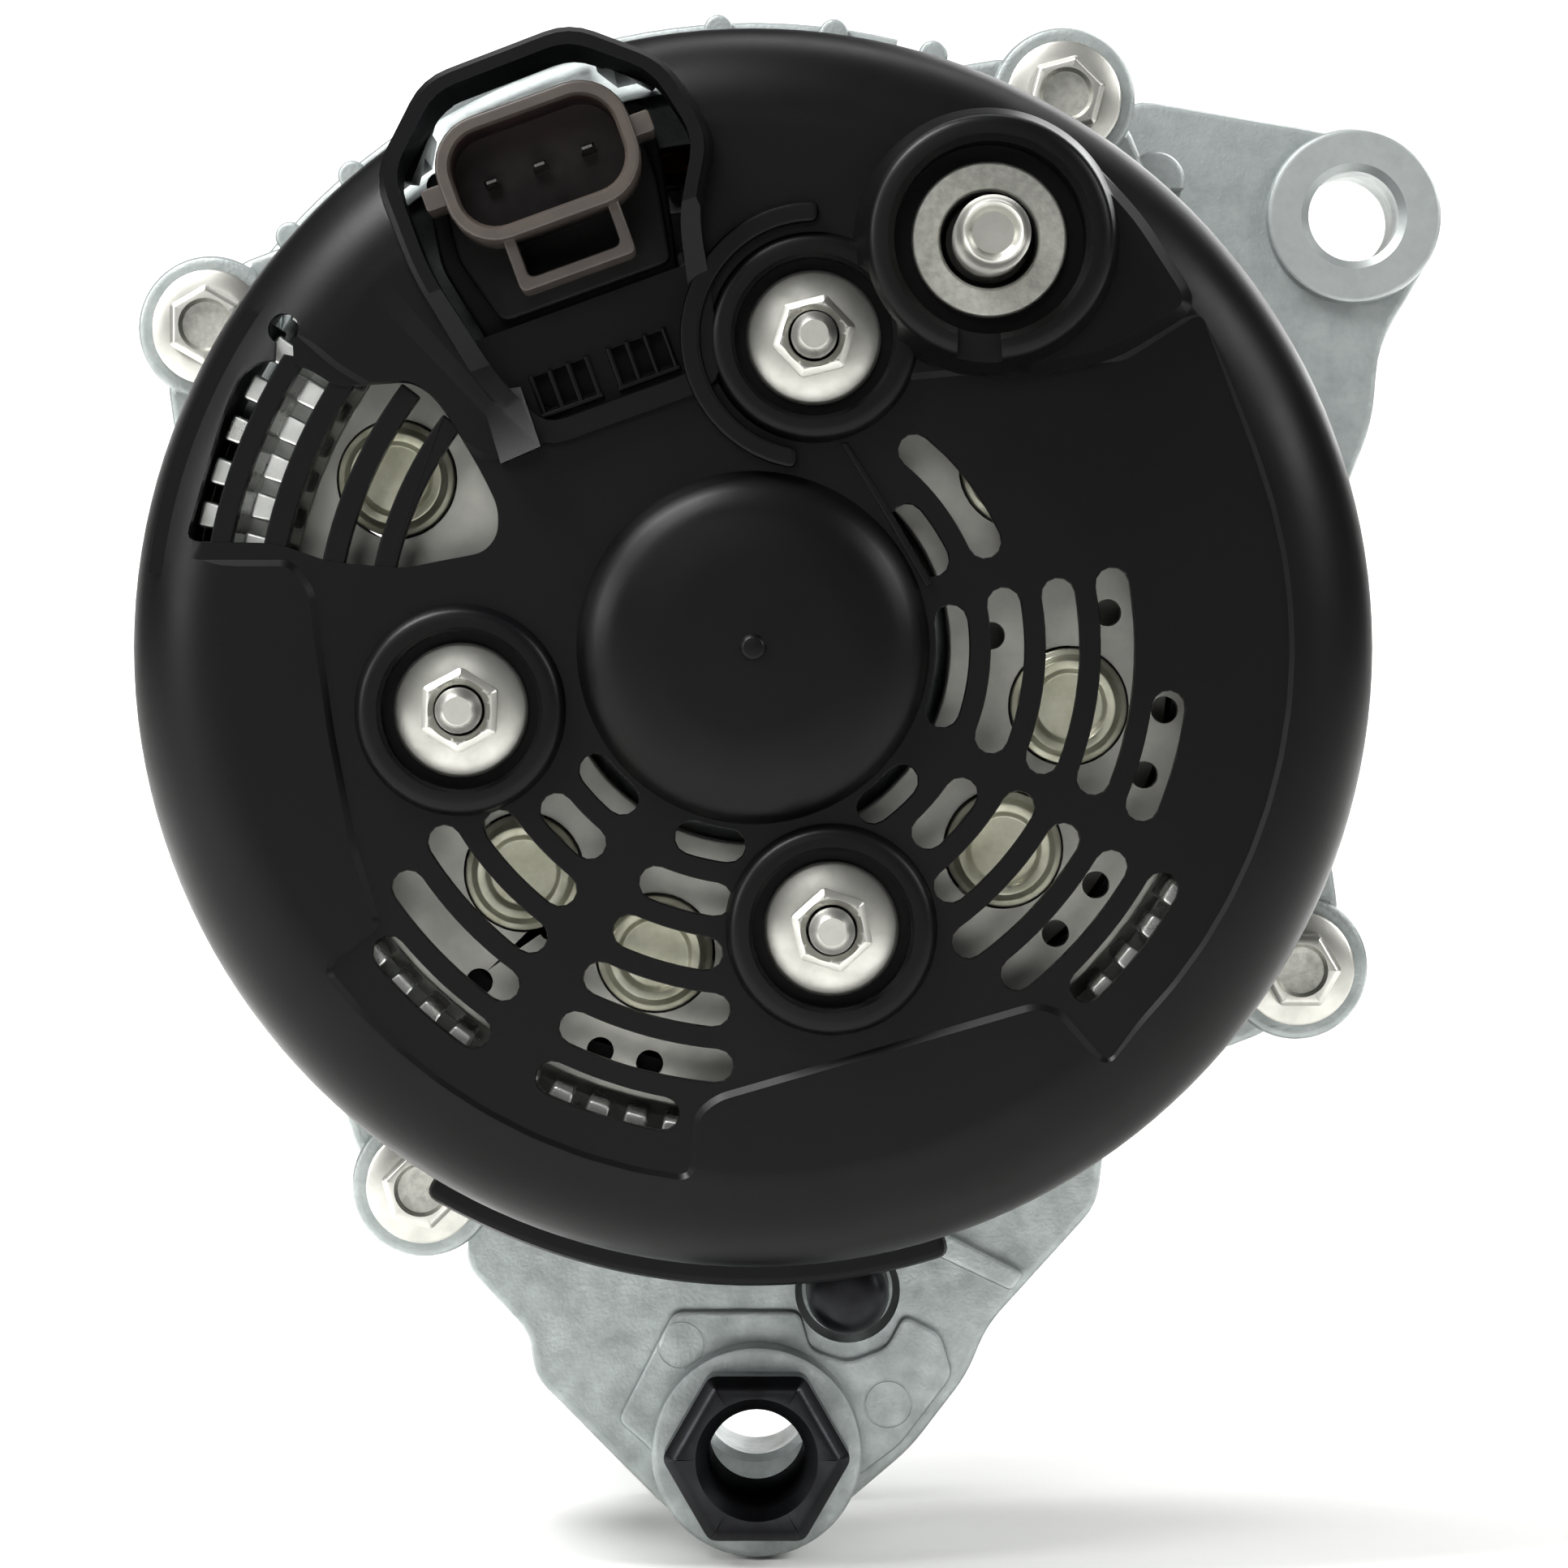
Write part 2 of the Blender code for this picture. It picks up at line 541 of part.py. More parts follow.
def make_heat_sinks():
    """Aluminium plates that the rectifier diodes are pressed into."""
    start, end = PLATE_ARC
    holes = [around(6.6, 12, at) for at in diode_places()]
    holes += [around(3.0, 8, at) for at in STUDS[1:]]
    negative = prism("negative", sector(24.0, 58.5, start, end, 20), *NEGATIVE_PLATE)
    rim = sector(51.8, 57.8, start + 1.0, 41.0, 19)
    join(negative, prism("rim", rim, -149.5, -139.0))
    cut(negative, prisms("holes", holes, -141.0, -130.0))
    place(negative, "negative_heat_sink", "sheet_aluminium")
    positive = prism("positive", sector(23.5, 50.8, start, end, 20), *POSITIVE_PLATE)
    tab = tilted(box_outline(30.0, 46.0, 18.0, 40.0))
    join(positive, prism("tab", tab, POSITIVE_PLATE[0] + 0.2, POSITIVE_PLATE[1] - 0.2))
    cut(positive, prisms("holes", holes + [around(4.0, 12, B_PLUS)], -160.0, -140.0))
    place(positive, "positive_heat_sink", "sheet_aluminium")


def make_diodes():
    """Press-fit diodes: six single ones in the outer plate, six on one lead frame in the inner."""
    for number, at in enumerate(diode_places(), 1):
        can = [(0, -154.6), (5.2, -154.6), (6.3, -153.4), (6.3, -148.0), (0, -148.0)]
        diode = lathe("diode", can, 12)
        place(shifted(diode, at[0], 0, at[1]), f"positive_diode_{number}", "zinc_steel")
    group = prism("bus", sector(35.0, 37.6, PLATE_ARC[0] + 8.0, 40.0, 18), -146.0, -143.6)
    for at in diode_places():
        join(group, prism("cell", circle(6.2, 12, at), -144.4, -137.0))
    place(group, "negative_diodes", "zinc_steel")


def make_terminal_block():
    outline = sector(46.6, 50.6, PLATE_ARC[0] + 24.0, PLATE_ARC[1] - 2.0, 18)
    block = prism("block", outline, POSITIVE_PLATE[1] + GAP, NEGATIVE_PLATE[0] - GAP)
    place(block, "terminal_block", "black_nylon")


def make_b_plus_terminal():
    """Output stud that rises from the positive heat sink, and the washer round it."""
    profile = [(0, -179.5), (3.2, -179.5), (4.0, -178.5), (4.0, -156.0), (7.0, -155.5),
               (7.0, -152.3), (3.6, -152.2), (3.6, -149.6), (0, -149.6)]
    stud = lathe("stud", profile, 16)
    place(shifted(stud, B_PLUS[0], 0, B_PLUS[1]), "b_plus_stud", "zinc_steel")
    washer = lathe("washer", [(5.2, -168.2), (8.3, -168.2), (8.3, -166.0), (5.2, -166.0)], 24)
    place(shifted(washer, B_PLUS[0], 0, B_PLUS[1]), "b_plus_washer", "zinc_steel")


CONNECTOR = (-3.8, 56.0)       # in the regulator's tilted frame
CONNECTOR_MOUTH = -173.5


def make_regulator():
    """Voltage regulator body with the connector that stands on it."""
    case = [(-12.0, 31.2), (4.0, 31.2), (7.4, 46.0), (9.0, 54.0), (9.0, 60.0), (-16.0, 60.0),
            (-17.6, 50.0), (-15.0, 38.0)]
    body = prism("case", tilted(case), -158.5, -143.0)
    step = [(-13.4, 42.0), (6.0, 42.0), (7.6, 51.0), (7.6, 58.5), (-14.6, 58.5), (-15.6, 50.0)]
    join(body, prism("step", tilted(step), -161.5, -158.0))
    place(body, "regulator", "black_nylon")
    outer = rounded_box(21.4, 13.6, 5.4, CONNECTOR)
    inner = rounded_box(18.0, 10.2, 3.8, CONNECTOR)
    socket = prism("socket", tilted(outer), CONNECTOR_MOUTH, -161.8)
    for x in (-11.2, 11.2):
        nub = box_outline(CONNECTOR[0] + x - 1.6, CONNECTOR[0] + x + 1.6, 54.8, 57.4)
        join(socket, prism("nub", tilted(nub), -172.0, -163.0))
    latch = [(-10.2, 50.2), (-10.2, 43.6), (2.8, 43.6), (2.8, 50.2), (1.2, 50.2), (1.2, 45.2),
             (-8.6, 45.2), (-8.6, 50.2)]
    join(socket, prism("latch", tilted(latch), -169.5, -161.8))
    cut(socket, prism("mouth", tilted(inner), -180, -163.3))
    pins = [(CONNECTOR[0] + offset, CONNECTOR[1]) for offset in (-5.4, 0.0, 5.4)]
    holes = [tilted(box_outline(t - 1.1, t + 1.1, s - 0.7, s + 0.7)) for t, s in pins]
    cut(socket, prisms("pin_holes", holes, -165, -160))
    place(socket, "connector_socket", "grey_plastic")
    for number, (t, s) in enumerate(pins, 1):
        blade = tilted(box_outline(t - 0.8, t + 0.8, s - 0.4, s + 0.4))
        place(prism("pin", blade, -168.6, -161.8), f"connector_pin_{number}", "zinc_steel")


BRUSH_STATIONS = (-145.75, -154.75)


def make_brushes():
    """Brush holder over the slip rings, with a carbon brush and its spring in each pocket."""
    holder = prism("holder", tilted(box_outline(-5.6, 5.6, 9.6, 30.4)), -159.6, -141.2)
    for y in BRUSH_STATIONS:
        pocket = tilted(box_outline(-3.5, 3.5, 5.0, 28.6))
        cut(holder, prism("pocket", pocket, y - 2.5, y + 2.5))
    place(holder, "brush_holder", "black_nylon")
    for number, y in enumerate(BRUSH_STATIONS, 1):
        brush = prism("brush", tilted(box_outline(-3.2, 3.2, 8.0, 18.0)), y - 2.2, y + 2.2)
        place(brush, f"brush_{number}", "carbon")
        place(make_spring(y, 18.4, 28.2), f"brush_spring_{number}", "zinc_steel")


def make_spring(y, low, high):
    """Compression spring along the brush's slide axis, as a thin helix."""
    turns, per_turn, coil, wire, ring = 4, 6, 1.7, 0.3, 4
    count = turns * per_turn
    lean = math.radians(REGULATOR_TILT)
    across = Vector((math.cos(lean), 0, math.sin(lean)))
    along = Vector((-math.sin(lean), 0, math.cos(lean)))
    deep = Vector((0, 1, 0))
    bm = bmesh.new()
    rings = []
    for i in range(count + 1):
        angle = 2 * math.pi * i / per_turn
        out = across * math.cos(angle) + deep * math.sin(angle)
        rise = low + wire + (high - low - 2 * wire) * i / count
        centre = out * coil + along * rise + deep * y
        loop = []
        for k in range(ring):
            around = 2 * math.pi * k / ring
            offset = out * math.cos(around) * wire + along * math.sin(around) * wire
            loop.append(bm.verts.new((centre + offset) * MM))
        rings.append(loop)
    for a, b in zip(rings, rings[1:]):
        for k in range(ring):
            bm.faces.new((a[k], a[(k + 1) % ring], b[(k + 1) % ring], b[k]))
    bm.faces.new(rings[0])
    bm.faces.new(rings[-1])
    return finish_mesh(bm, "spring")


# ---- rear cover and its fasteners ----------------------------------------------------------
CHIMNEY = [(-21.0, 61.0), (-12.5, 69.0), (4.5, 69.3), (13.0, 62.0), (15.0, 52.5), (10.5, 45.0),
           (6.6, 27.6), (-14.0, 27.6), (-18.0, 36.5), (-20.8, 49.0)]
CHIMNEY_OPENING = [(-18.7, 60.2), (-11.6, 66.8), (3.6, 67.1), (10.8, 61.0), (12.6, 53.0),
                   (8.2, 45.5), (4.7, 29.9), (-12.8, 29.9), (-15.9, 37.0), (-18.6, 49.3)]
SLOT_PITCH, SLOT_FIRST, SLOT_WIDTH = 5.9, 21.4, 3.6
# For each fan of slots: the rows it has, counted outwards, and its two limiting angles.
SLOT_FANS = (
    (range(0, 5), -21.5, 10.5),
    (range(0, 6), -53.0, -30.5),
    (range(0, 6), -116.0, -96.0),
    (range(0, 6), -146.0, -126.0),
    (range(0, 2), 22.0, 46.0),
    (range(3, 7), 149.0, 168.0),
)


def slot_outlines():
    """Curved air slots of the rear cover, in fans between its arms."""
    outlines = []
    for rows, start, end in SLOT_FANS:
        for row in rows:
            radius = SLOT_FIRST + SLOT_PITCH * row
            trim = math.degrees(SLOT_WIDTH / 2 / radius)
            low, high = start + trim, end - trim
            if row == 0 and start in (-53.0, -116.0, -146.0):
                high = low + (high - low) * 0.55
            outlines.append(curved_slot(radius, SLOT_WIDTH, low, high))
    return outlines


def make_rear_cover():
    """Moulded cover over the rectifier: dome, hub, slots, nut wells, stud cup and chimney."""
    outside = [
        (0, COVER_RIM), (COVER_OUTER, COVER_RIM), (COVER_OUTER, -152.0), (66.3, -157.5),
        (62.6, -161.8), (57.0, COVER_FACE), (0, COVER_FACE),
    ]
    inside = [
        (0, -100.0), (COVER_INNER, -100.0), (COVER_INNER, -152.0), (64.2, -156.4),
        (61.2, -159.9), (56.4, COVER_INNER_FACE), (0, COVER_INNER_FACE),
    ]
    cover = lathe("cover", outside, 36)
    join(cover, prism("chimney", tilted(CHIMNEY), CHIMNEY_RIM, -152.6))
    join(cover, prism("lip", sector(62.0, 71.6, -121.0, -72.0, 6), -138.0, -130.5))
    cut(cover, lathe("inside", inside, 36, 5.0))
    hub = [(0, HUB_FACE), (15.5, HUB_FACE), (18.0, -167.0), (19.0, -162.6), (0, -162.6)]
    join(cover, lathe("hub", hub, 24, 5.0))
    for at in STUDS:
        boss = [(0, -165.4), (10.4, -165.4), (10.9, -163.4), (10.9, -158.8), (0, -158.8)]
        join(cover, shifted(lathe("boss", boss, 16, 3.0), at[0], 0, at[1]))
    cup = [(0, CUP_RIM), (12.6, CUP_RIM), (13.6, -163.0), (0, -163.0)]
    join(cover, shifted(lathe("cup", cup, 20, 5.0), B_PLUS[0], 0, B_PLUS[1]))
    cut(cover, prisms("slots", slot_outlines(), -175.0, -155.0))
    cut(cover, prism("opening", tilted(CHIMNEY_OPENING), -180.0, -154.5))
    for at in STUDS:
        well = [(0, -170), (8.6, -170), (8.6, NUT_SEAT), (3.0, NUT_SEAT), (3.0, -150), (0, -150)]
        cut(cover, shifted(lathe("well", well, 12, 8.0), at[0], 0, at[1]))
    cup_well = [(0, -180), (10.2, -180), (10.2, -165.6), (4.6, -165.6), (4.6, -155), (0, -155)]
    cut(cover, shifted(lathe("well", cup_well, 16, 2.0), B_PLUS[0], 0, B_PLUS[1]))
    notches = [circle(7.3, 12, polar(BOLT_CIRCLE, a), 2.0) for a in BOLT_ANGLES]
    cut(cover, prisms("notches", notches, -136.0, -120.0))
    place(cover, "rear_cover", "black_nylon")


def make_cover_fasteners():
    for number, at in enumerate(STUDS, 1):
        shank = [(0, -169.5), (1.8, -169.5), (2.5, -168.5), (2.5, -131.6), (0, -131.6)]
        stud = lathe("stud", shank, 12)
        place(shifted(stud, at[0], 0, at[1]), f"cover_stud_{number}", "zinc_steel")
        seat = NUT_SEAT - GAP
        flange = [(0, seat - 1.8), (5.4, seat - 1.8), (7.2, seat - 0.9), (7.2, seat), (0, seat)]
        nut = lathe("nut", flange, 16)
        join(nut, prism("hexagon", circle(4.6, 6, (0, 0), 12.0 * number), seat - 5.6, seat - 1.0))
        cut(nut, prism("bore", around(2.8, 10, (0.0, 0.0), 3.0), -170, -150))
        place(shifted(nut, at[0], 0, at[1]), f"cover_nut_{number}", "zinc_steel")


def make_axes():
    """The axes that the rotor and the two ball cages turn on, all along the shaft."""
    for name in ("rotor_axis", "front_bearing_cage_axis", "rear_bearing_cage_axis"):
        empty = bpy.data.objects.new(name, None)
        empty.empty_display_size = 0.02
        bpy.context.scene.collection.objects.link(empty)


def main():
    for obj in list(bpy.data.objects):
        bpy.data.objects.remove(obj)
    make_materials()
    make_axes()
    make_front_frame()
    make_rear_frame()
    make_through_bolts()
    make_pivot_bush()
    make_stator_core()
    make_stator_winding()
    make_shaft()
    make_pole("front_pole", -78.0, -1.0, 0.0)
    make_pole("rear_pole", -114.0, 1.0, 180.0 / FINGER_COUNT)
    make_field_coil()
    make_fan("front_fan", -77.7, 1.0, 11)
    make_fan("rear_fan", -114.3, -1.0, 9)
    make_slip_rings()
    make_pulley()
    make_pulley_nut()
    make_collar()
    make_bearing("front_bearing", FRONT_BEARING, 8.8, 12.5, 19.5, 23.5, 3.2, 7)
    make_bearing("rear_bearing", REAR_BEARING, 7.8, 10.2, 15.2, 17.5, 2.2, 8)
    make_retainer()
    make_heat_sinks()
    make_diodes()
    make_terminal_block()
    make_b_plus_terminal()
    make_regulator()
    make_brushes()
    make_rear_cover()
    make_cover_fasteners()


main()
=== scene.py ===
"""Car alternator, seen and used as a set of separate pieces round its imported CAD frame.

Run as a script. Lengths are written in millimetres and turned to metres by MM. The shaft
lies along Y with the pulley at +Y, and the plastic rear cover is at -Y. An outline is a list
of (x, z) points across the shaft, and a profile is a list of (radius, y) points along it.
"""
import math
from collections import namedtuple

import bmesh
import bpy
import numpy as np
from bpy.props import FloatProperty, FloatVectorProperty, IntProperty, PointerProperty
from mathutils import Matrix, Vector


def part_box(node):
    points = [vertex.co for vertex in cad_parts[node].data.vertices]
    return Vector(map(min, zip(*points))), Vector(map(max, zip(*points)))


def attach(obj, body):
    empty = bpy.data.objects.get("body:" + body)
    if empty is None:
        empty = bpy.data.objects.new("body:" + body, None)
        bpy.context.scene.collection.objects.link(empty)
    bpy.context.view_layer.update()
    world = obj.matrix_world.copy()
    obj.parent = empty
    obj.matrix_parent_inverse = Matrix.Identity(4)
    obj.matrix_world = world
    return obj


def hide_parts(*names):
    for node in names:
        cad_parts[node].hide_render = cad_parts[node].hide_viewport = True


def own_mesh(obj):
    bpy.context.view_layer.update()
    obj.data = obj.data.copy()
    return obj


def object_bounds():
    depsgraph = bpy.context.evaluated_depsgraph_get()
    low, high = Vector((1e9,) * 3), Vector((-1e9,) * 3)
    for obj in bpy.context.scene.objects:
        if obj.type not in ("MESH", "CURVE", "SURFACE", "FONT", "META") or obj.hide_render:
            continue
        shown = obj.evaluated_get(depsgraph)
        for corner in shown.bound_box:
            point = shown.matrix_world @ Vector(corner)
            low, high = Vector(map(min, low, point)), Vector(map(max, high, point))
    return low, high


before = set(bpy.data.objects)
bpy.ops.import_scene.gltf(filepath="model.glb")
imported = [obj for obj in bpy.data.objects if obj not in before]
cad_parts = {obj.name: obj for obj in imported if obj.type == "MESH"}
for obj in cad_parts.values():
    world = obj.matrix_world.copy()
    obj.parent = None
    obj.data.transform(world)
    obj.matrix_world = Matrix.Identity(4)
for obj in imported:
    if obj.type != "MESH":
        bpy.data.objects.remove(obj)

CAD_BOX = [list(corner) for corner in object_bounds()]

bl_info = {
    "name": "Car alternator",
    "version": (1, 0, 0),
    "blender": (4, 5, 0),
    "location": "3D View > Sidebar > Alternator",
    "description": "Models the pieces of a car alternator on its CAD frame",
    "category": "Add Mesh",
}

MM = 0.001


# ---- places taken from the frame -----------------------------------------------------------
def middle(node):
    """Where a node's centre lies across the shaft, as (x, z) in millimetres."""
    low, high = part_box(node)
    return ((low[0] + high[0]) / 2 / MM, (low[2] + high[2]) / 2 / MM)


def rear_end(node):
    """A node's rearmost y in millimetres."""
    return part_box(node)[0][1] / MM


def front_end(node):
    """A node's foremost y in millimetres."""
    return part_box(node)[1][1] / MM


NUT_NODES = ("cover_nut_1", "cover_nut_2", "cover_nut_3")
BOLT_NODES = ("through_bolt_1", "through_bolt_2", "through_bolt_3", "through_bolt_4")
DIODE_NODES = tuple(f"positive_diode_{number}" for number in range(1, 7))
PIN_NODES = ("connector_pin_1", "connector_pin_2", "connector_pin_3")

STUDS = [middle(node) for node in NUT_NODES]
BOLTS = [middle(node) for node in BOLT_NODES]
DIODES = [middle(node) for node in DIODE_NODES]
PINS = [middle(node) for node in PIN_NODES]
OUTPUT = middle("b_plus_washer")
PIVOT = middle("pivot_bush")
EAR = (72.8, 52.3)
BOLT_ANGLES = [math.degrees(math.atan2(z, x)) for x, z in BOLTS]

COVER_FACE = -164.0            # flat rear face of the cover
RECESS_FLOOR = -163.3          # the shallow step that the slots lie in
COVER_SKIN = -161.8            # inner face of the cover
NUT_SEAT = -160.8
BOLT_SEAT = -128.3
REGULATOR_TILT = math.radians(20.0)


# ---- sizes and colours that a user would change --------------------------------------------
def linear(code):
    """An sRGB hex colour as linear red, green and blue."""
    parts = [int(code[place:place + 2], 16) / 255 for place in (1, 3, 5)]
    return [part / 12.92 if part <= 0.04045 else ((part + 0.055) / 1.055) ** 2.4 for part in parts]


def length(name, default, description):
    return FloatProperty(name=name, description=description, default=default * MM, unit="LENGTH")


def colour(name, code, description):
    return FloatVectorProperty(
        name=name, description=description, subtype="COLOR", size=3, min=0.0, max=1.0,
        default=linear(code),
    )


class AlternatorSizes(bpy.types.PropertyGroup):
    """Sizes of the details that the frame leaves open."""

    round_steps: IntProperty(
        name="Round steps", description="Sides of the large turned pieces", default=160, min=48,
        max=256,
    )
    cast_edge: length("Cast edge", 0.9, "Width of the rounded edge on the cast frames")
    plate_edge: length("Plate edge", 0.35, "Width of the rounded edge on sheet and bar pieces")
    slot_width: length("Slot width", 3.6, "Width of the cover's curved air slots")
    slot_pitch: length("Slot pitch", 5.9, "Distance from one row of air slots to the next")
    slot_first: length("First slot radius", 21.4, "Radius of the innermost row of air slots")


class AlternatorColours(bpy.types.PropertyGroup):
    """Colours of the surfaces seen first."""

    nylon: colour("Cover", "#050506", "Black moulded nylon of the cover")
    casting: colour("Castings", "#999F9E", "Die-cast aluminium of the two frames")
    zinc: colour("Zinc plate", "#BEBDB7", "Bright zinc on nuts, studs and bolts")
    socket: colour("Connector", "#352F2A", "Brown-grey plastic of the connector")
    copper: colour("Winding", "#A8542A", "Enamelled copper of the hairpins")
    floor: colour("Floor", "#F4F4F2", "Plain pale floor and backdrop")


def sizes():
    return bpy.context.scene.alternator_sizes


def colours():
    return bpy.context.scene.alternator_colours


# ---- outlines ------------------------------------------------------------------------------
def polar(radius, degrees, centre=(0.0, 0.0)):
    angle = math.radians(degrees)
    return (centre[0] + radius * math.cos(angle), centre[1] + radius * math.sin(angle))


def arc(radius, start, end, steps, centre=(0.0, 0.0)):
    return [polar(radius, start + (end - start) * i / steps, centre) for i in range(steps + 1)]


def circle(radius, sides, centre=(0.0, 0.0), turn=0.0):
    return [polar(radius, turn + 360.0 * i / sides, centre) for i in range(sides)]


def sector(inner, outer, start, end, steps):
    return arc(outer, start, end, steps) + arc(inner, end, start, steps)


def box_outline(left, right, bottom, top):
    return [(left, bottom), (right, bottom), (right, top), (left, top)]


def tilted(outline):
    """Turns an outline drawn square to the regulator into the alternator's own frame."""
    c, s = math.cos(REGULATOR_TILT), math.sin(REGULATOR_TILT)
    return [(t * c - u * s, t * s + u * c) for t, u in outline]


def rounded(outline, radius, steps=4):
    """An outline or profile with its corners rounded, except those on the axis."""
    points = []
    for i, corner in enumerate(outline):
        here = Vector(corner)
        before = Vector(outline[i - 1]) - here
        after = Vector(outline[(i + 1) % len(outline)]) - here
        if corner[0] == 0.0 or radius == 0.0:
            points.append(tuple(here))
            continue
        reach = min(radius, before.length * 0.48, after.length * 0.48)
        start = here + before.normalized() * reach
        end = here + after.normalized() * reach
        for step in range(steps + 1):
            t = step / steps
            points.append(tuple(start * (1 - t) ** 2 + here * 2 * t * (1 - t) + end * t ** 2))
    return points


def grown(outline, distance):
    """The outline moved outwards by this distance, or inwards if it is negative."""
    count = len(outline)
    area = sum(
        outline[i - 1][0] * outline[i][1] - outline[i][0] * outline[i - 1][1] for i in range(count)
    )
    side = distance if area > 0 else -distance
    points = []
    for i, (x, z) in enumerate(outline):
        edges = []
        for a, b in ((outline[i - 1], outline[i]), (outline[i], outline[(i + 1) % count])):
            run = Vector((b[0] - a[0], b[1] - a[1])).normalized()
            edges.append(Vector((run.y, -run.x)))
        lean = (edges[0] + edges[1]) / max(1.0 + edges[0].dot(edges[1]), 0.35)
        points.append((x + lean.x * side, z + lean.y * side))
    return points


def about(outline, centre, share):
    """The outline scaled about a centre."""
    return [(centre[0] + (x - centre[0]) * share, centre[1] + (z - centre[1]) * share)
            for x, z in outline]


def slot_outline(radius, width, start, end, steps=10, ends=6):
    """A slot along an arc, with round ends."""
    half = width / 2
    points = arc(radius + half, start, end, steps)
    points += arc(half, end, end + 180, ends, polar(radius, end))[1:-1]
    points += arc(radius - half, end, start, steps)
    return points + arc(half, start + 180, start + 360, ends, polar(radius, start))[1:-1]


def inside_outline(point, outline):
    """Whether a point lies within an outline, by counting the edges a ray crosses."""
    x, z = point
    within = False
    for i, (x2, z2) in enumerate(outline):
        x1, z1 = outline[i - 1]
        if (z1 > z) != (z2 > z) and x < (x2 - x1) * (z - z1) / (z2 - z1) + x1:
            within = not within
    return within


def at_depth(outline, y):
    return [(x, y, z) for x, z in outline]


def threads(radius, start, end, pitch, depth):
    """Profile points of a screw thread's crests and roots, from start to end."""
    count = int(abs(end - start) / pitch)
    step = (end - start) / count
    points = []
    for i in range(count):
        points.append((radius - depth, start + step * i))
        points.append((radius, start + step * (i + 0.5)))
    return points + [(radius - depth, end)]


# ---- modelling -----------------------------------------------------------------------------
def deselect():
    if bpy.context.object and bpy.context.object.mode != "OBJECT":
        bpy.ops.object.mode_set(mode="OBJECT")
    bpy.ops.object.select_all(action="DESELECT")


def pick(*pieces):
    """Selects these pieces alone, the last one active."""
    deselect()
    for piece in pieces:
        piece.select_set(True)
        bpy.context.view_layer.objects.active = piece


def ring_of(corners, fill):
    """A primitive circle whose corners are set to these points, open in edit mode."""
    deselect()
    bpy.ops.mesh.primitive_circle_add(vertices=len(corners), radius=MM, fill_type=fill)
    piece = bpy.context.object
    for vertex, corner in zip(piece.data.vertices, corners):
        vertex.co = Vector(corner) * MM
    bpy.ops.object.mode_set(mode="EDIT")
    bpy.ops.mesh.select_all(action="SELECT")
    return piece


def loft(rings):
    """A closed solid through rings of equal length: a filled ring, extruded to each next one."""
    piece = ring_of(rings[0], "NGON")
    for before, after in zip(rings, rings[1:]):
        places = {tuple(round(part, 4) for part in corner): i for i, corner in enumerate(before)}
        bpy.ops.mesh.extrude_region_move()
        mesh = bmesh.from_edit_mesh(piece.data)
        for vertex in mesh.verts:
            if vertex.select:
                corner = tuple(round(part / MM, 4) for part in vertex.co)
                index = places.get(corner)
                if index is None:
                    index = min(
                        range(len(before)),
                        key=lambda i: (Vector(before[i]) * MM - vertex.co).length,
                    )
                vertex.co = Vector(after[index]) * MM
        bmesh.update_edit_mesh(piece.data)
    bpy.ops.mesh.select_all(action="SELECT")
    bpy.ops.mesh.normals_make_consistent(inside=False)
    bpy.ops.object.mode_set(mode="OBJECT")
    return piece


def stepped(outline, *steps):
    """A solid of one outline, grown by each step's distance at that step's depth."""
    return loft([at_depth(grown(outline, by) if by else outline, y) for y, by in steps])


def plate(outline, low, high, edge=0.0):
    """A flat piece with this outline between two y, its rims chamfered by edge."""
    if edge == 0.0:
        return loft([at_depth(outline, low), at_depth(outline, high)])
    part = edge * 0.3
    return stepped(outline, (low, -edge), (low + part, -part), (low + edge, 0),
                   (high - edge, 0), (high - part, -part), (high, -edge))


def drum(radius, low, high, centre=(0.0, 0.0), edge=0.0, sides=48, turn=0.0):
    return plate(circle(radius, sides, centre, turn), low, high, edge)


def turned(profile, edge=0.0, steps=None, centre=(0.0, 0.0)):
    """A closed profile spun round an axis along Y, its corners rounded by edge first."""
    corners = rounded(profile, edge, 3) if edge else profile
    piece = ring_of([(centre[0] + r, y, centre[1]) for r, y in corners], "NOTHING")
    bpy.ops.mesh.spin(
        steps=steps or sizes().round_steps, angle=math.tau, axis=(0, 1, 0),
        center=(centre[0] * MM, 0, centre[1] * MM),
    )
    bpy.ops.mesh.select_all(action="SELECT")
    bpy.ops.mesh.remove_doubles(threshold=2e-7)
    bpy.ops.mesh.delete_loose()
    bpy.ops.mesh.select_all(action="SELECT")
    bpy.ops.mesh.normals_make_consistent(inside=False)
    bpy.ops.object.mode_set(mode="OBJECT")
    return piece


def together(pieces):
    """One object holding these pieces' meshes."""
    if len(pieces) > 1:
        pick(*pieces)
        bpy.ops.object.join()
    return bpy.context.view_layer.objects.active if len(pieces) > 1 else pieces[0]


def is_closed(mesh):
    """Whether every edge has two faces, and there are faces at all."""
    uses = np.empty(len(mesh.loops), dtype=np.int32)
    mesh.loops.foreach_get("edge_index", uses)
    return len(uses) > 0 and bool((np.bincount(uses, minlength=len(mesh.edges)) == 2).all())


# The solver can fail where two faces nearly touch, so a tool is then nudged by these metres.
NUDGES = (Vector(), Vector((4e-6, 3e-6, -5e-6)), Vector((-6e-6, 5e-6, 4e-6)),
          Vector((9e-6, -8e-6, 7e-6)), Vector((-2e-5, -1.5e-5, -1.8e-5)))


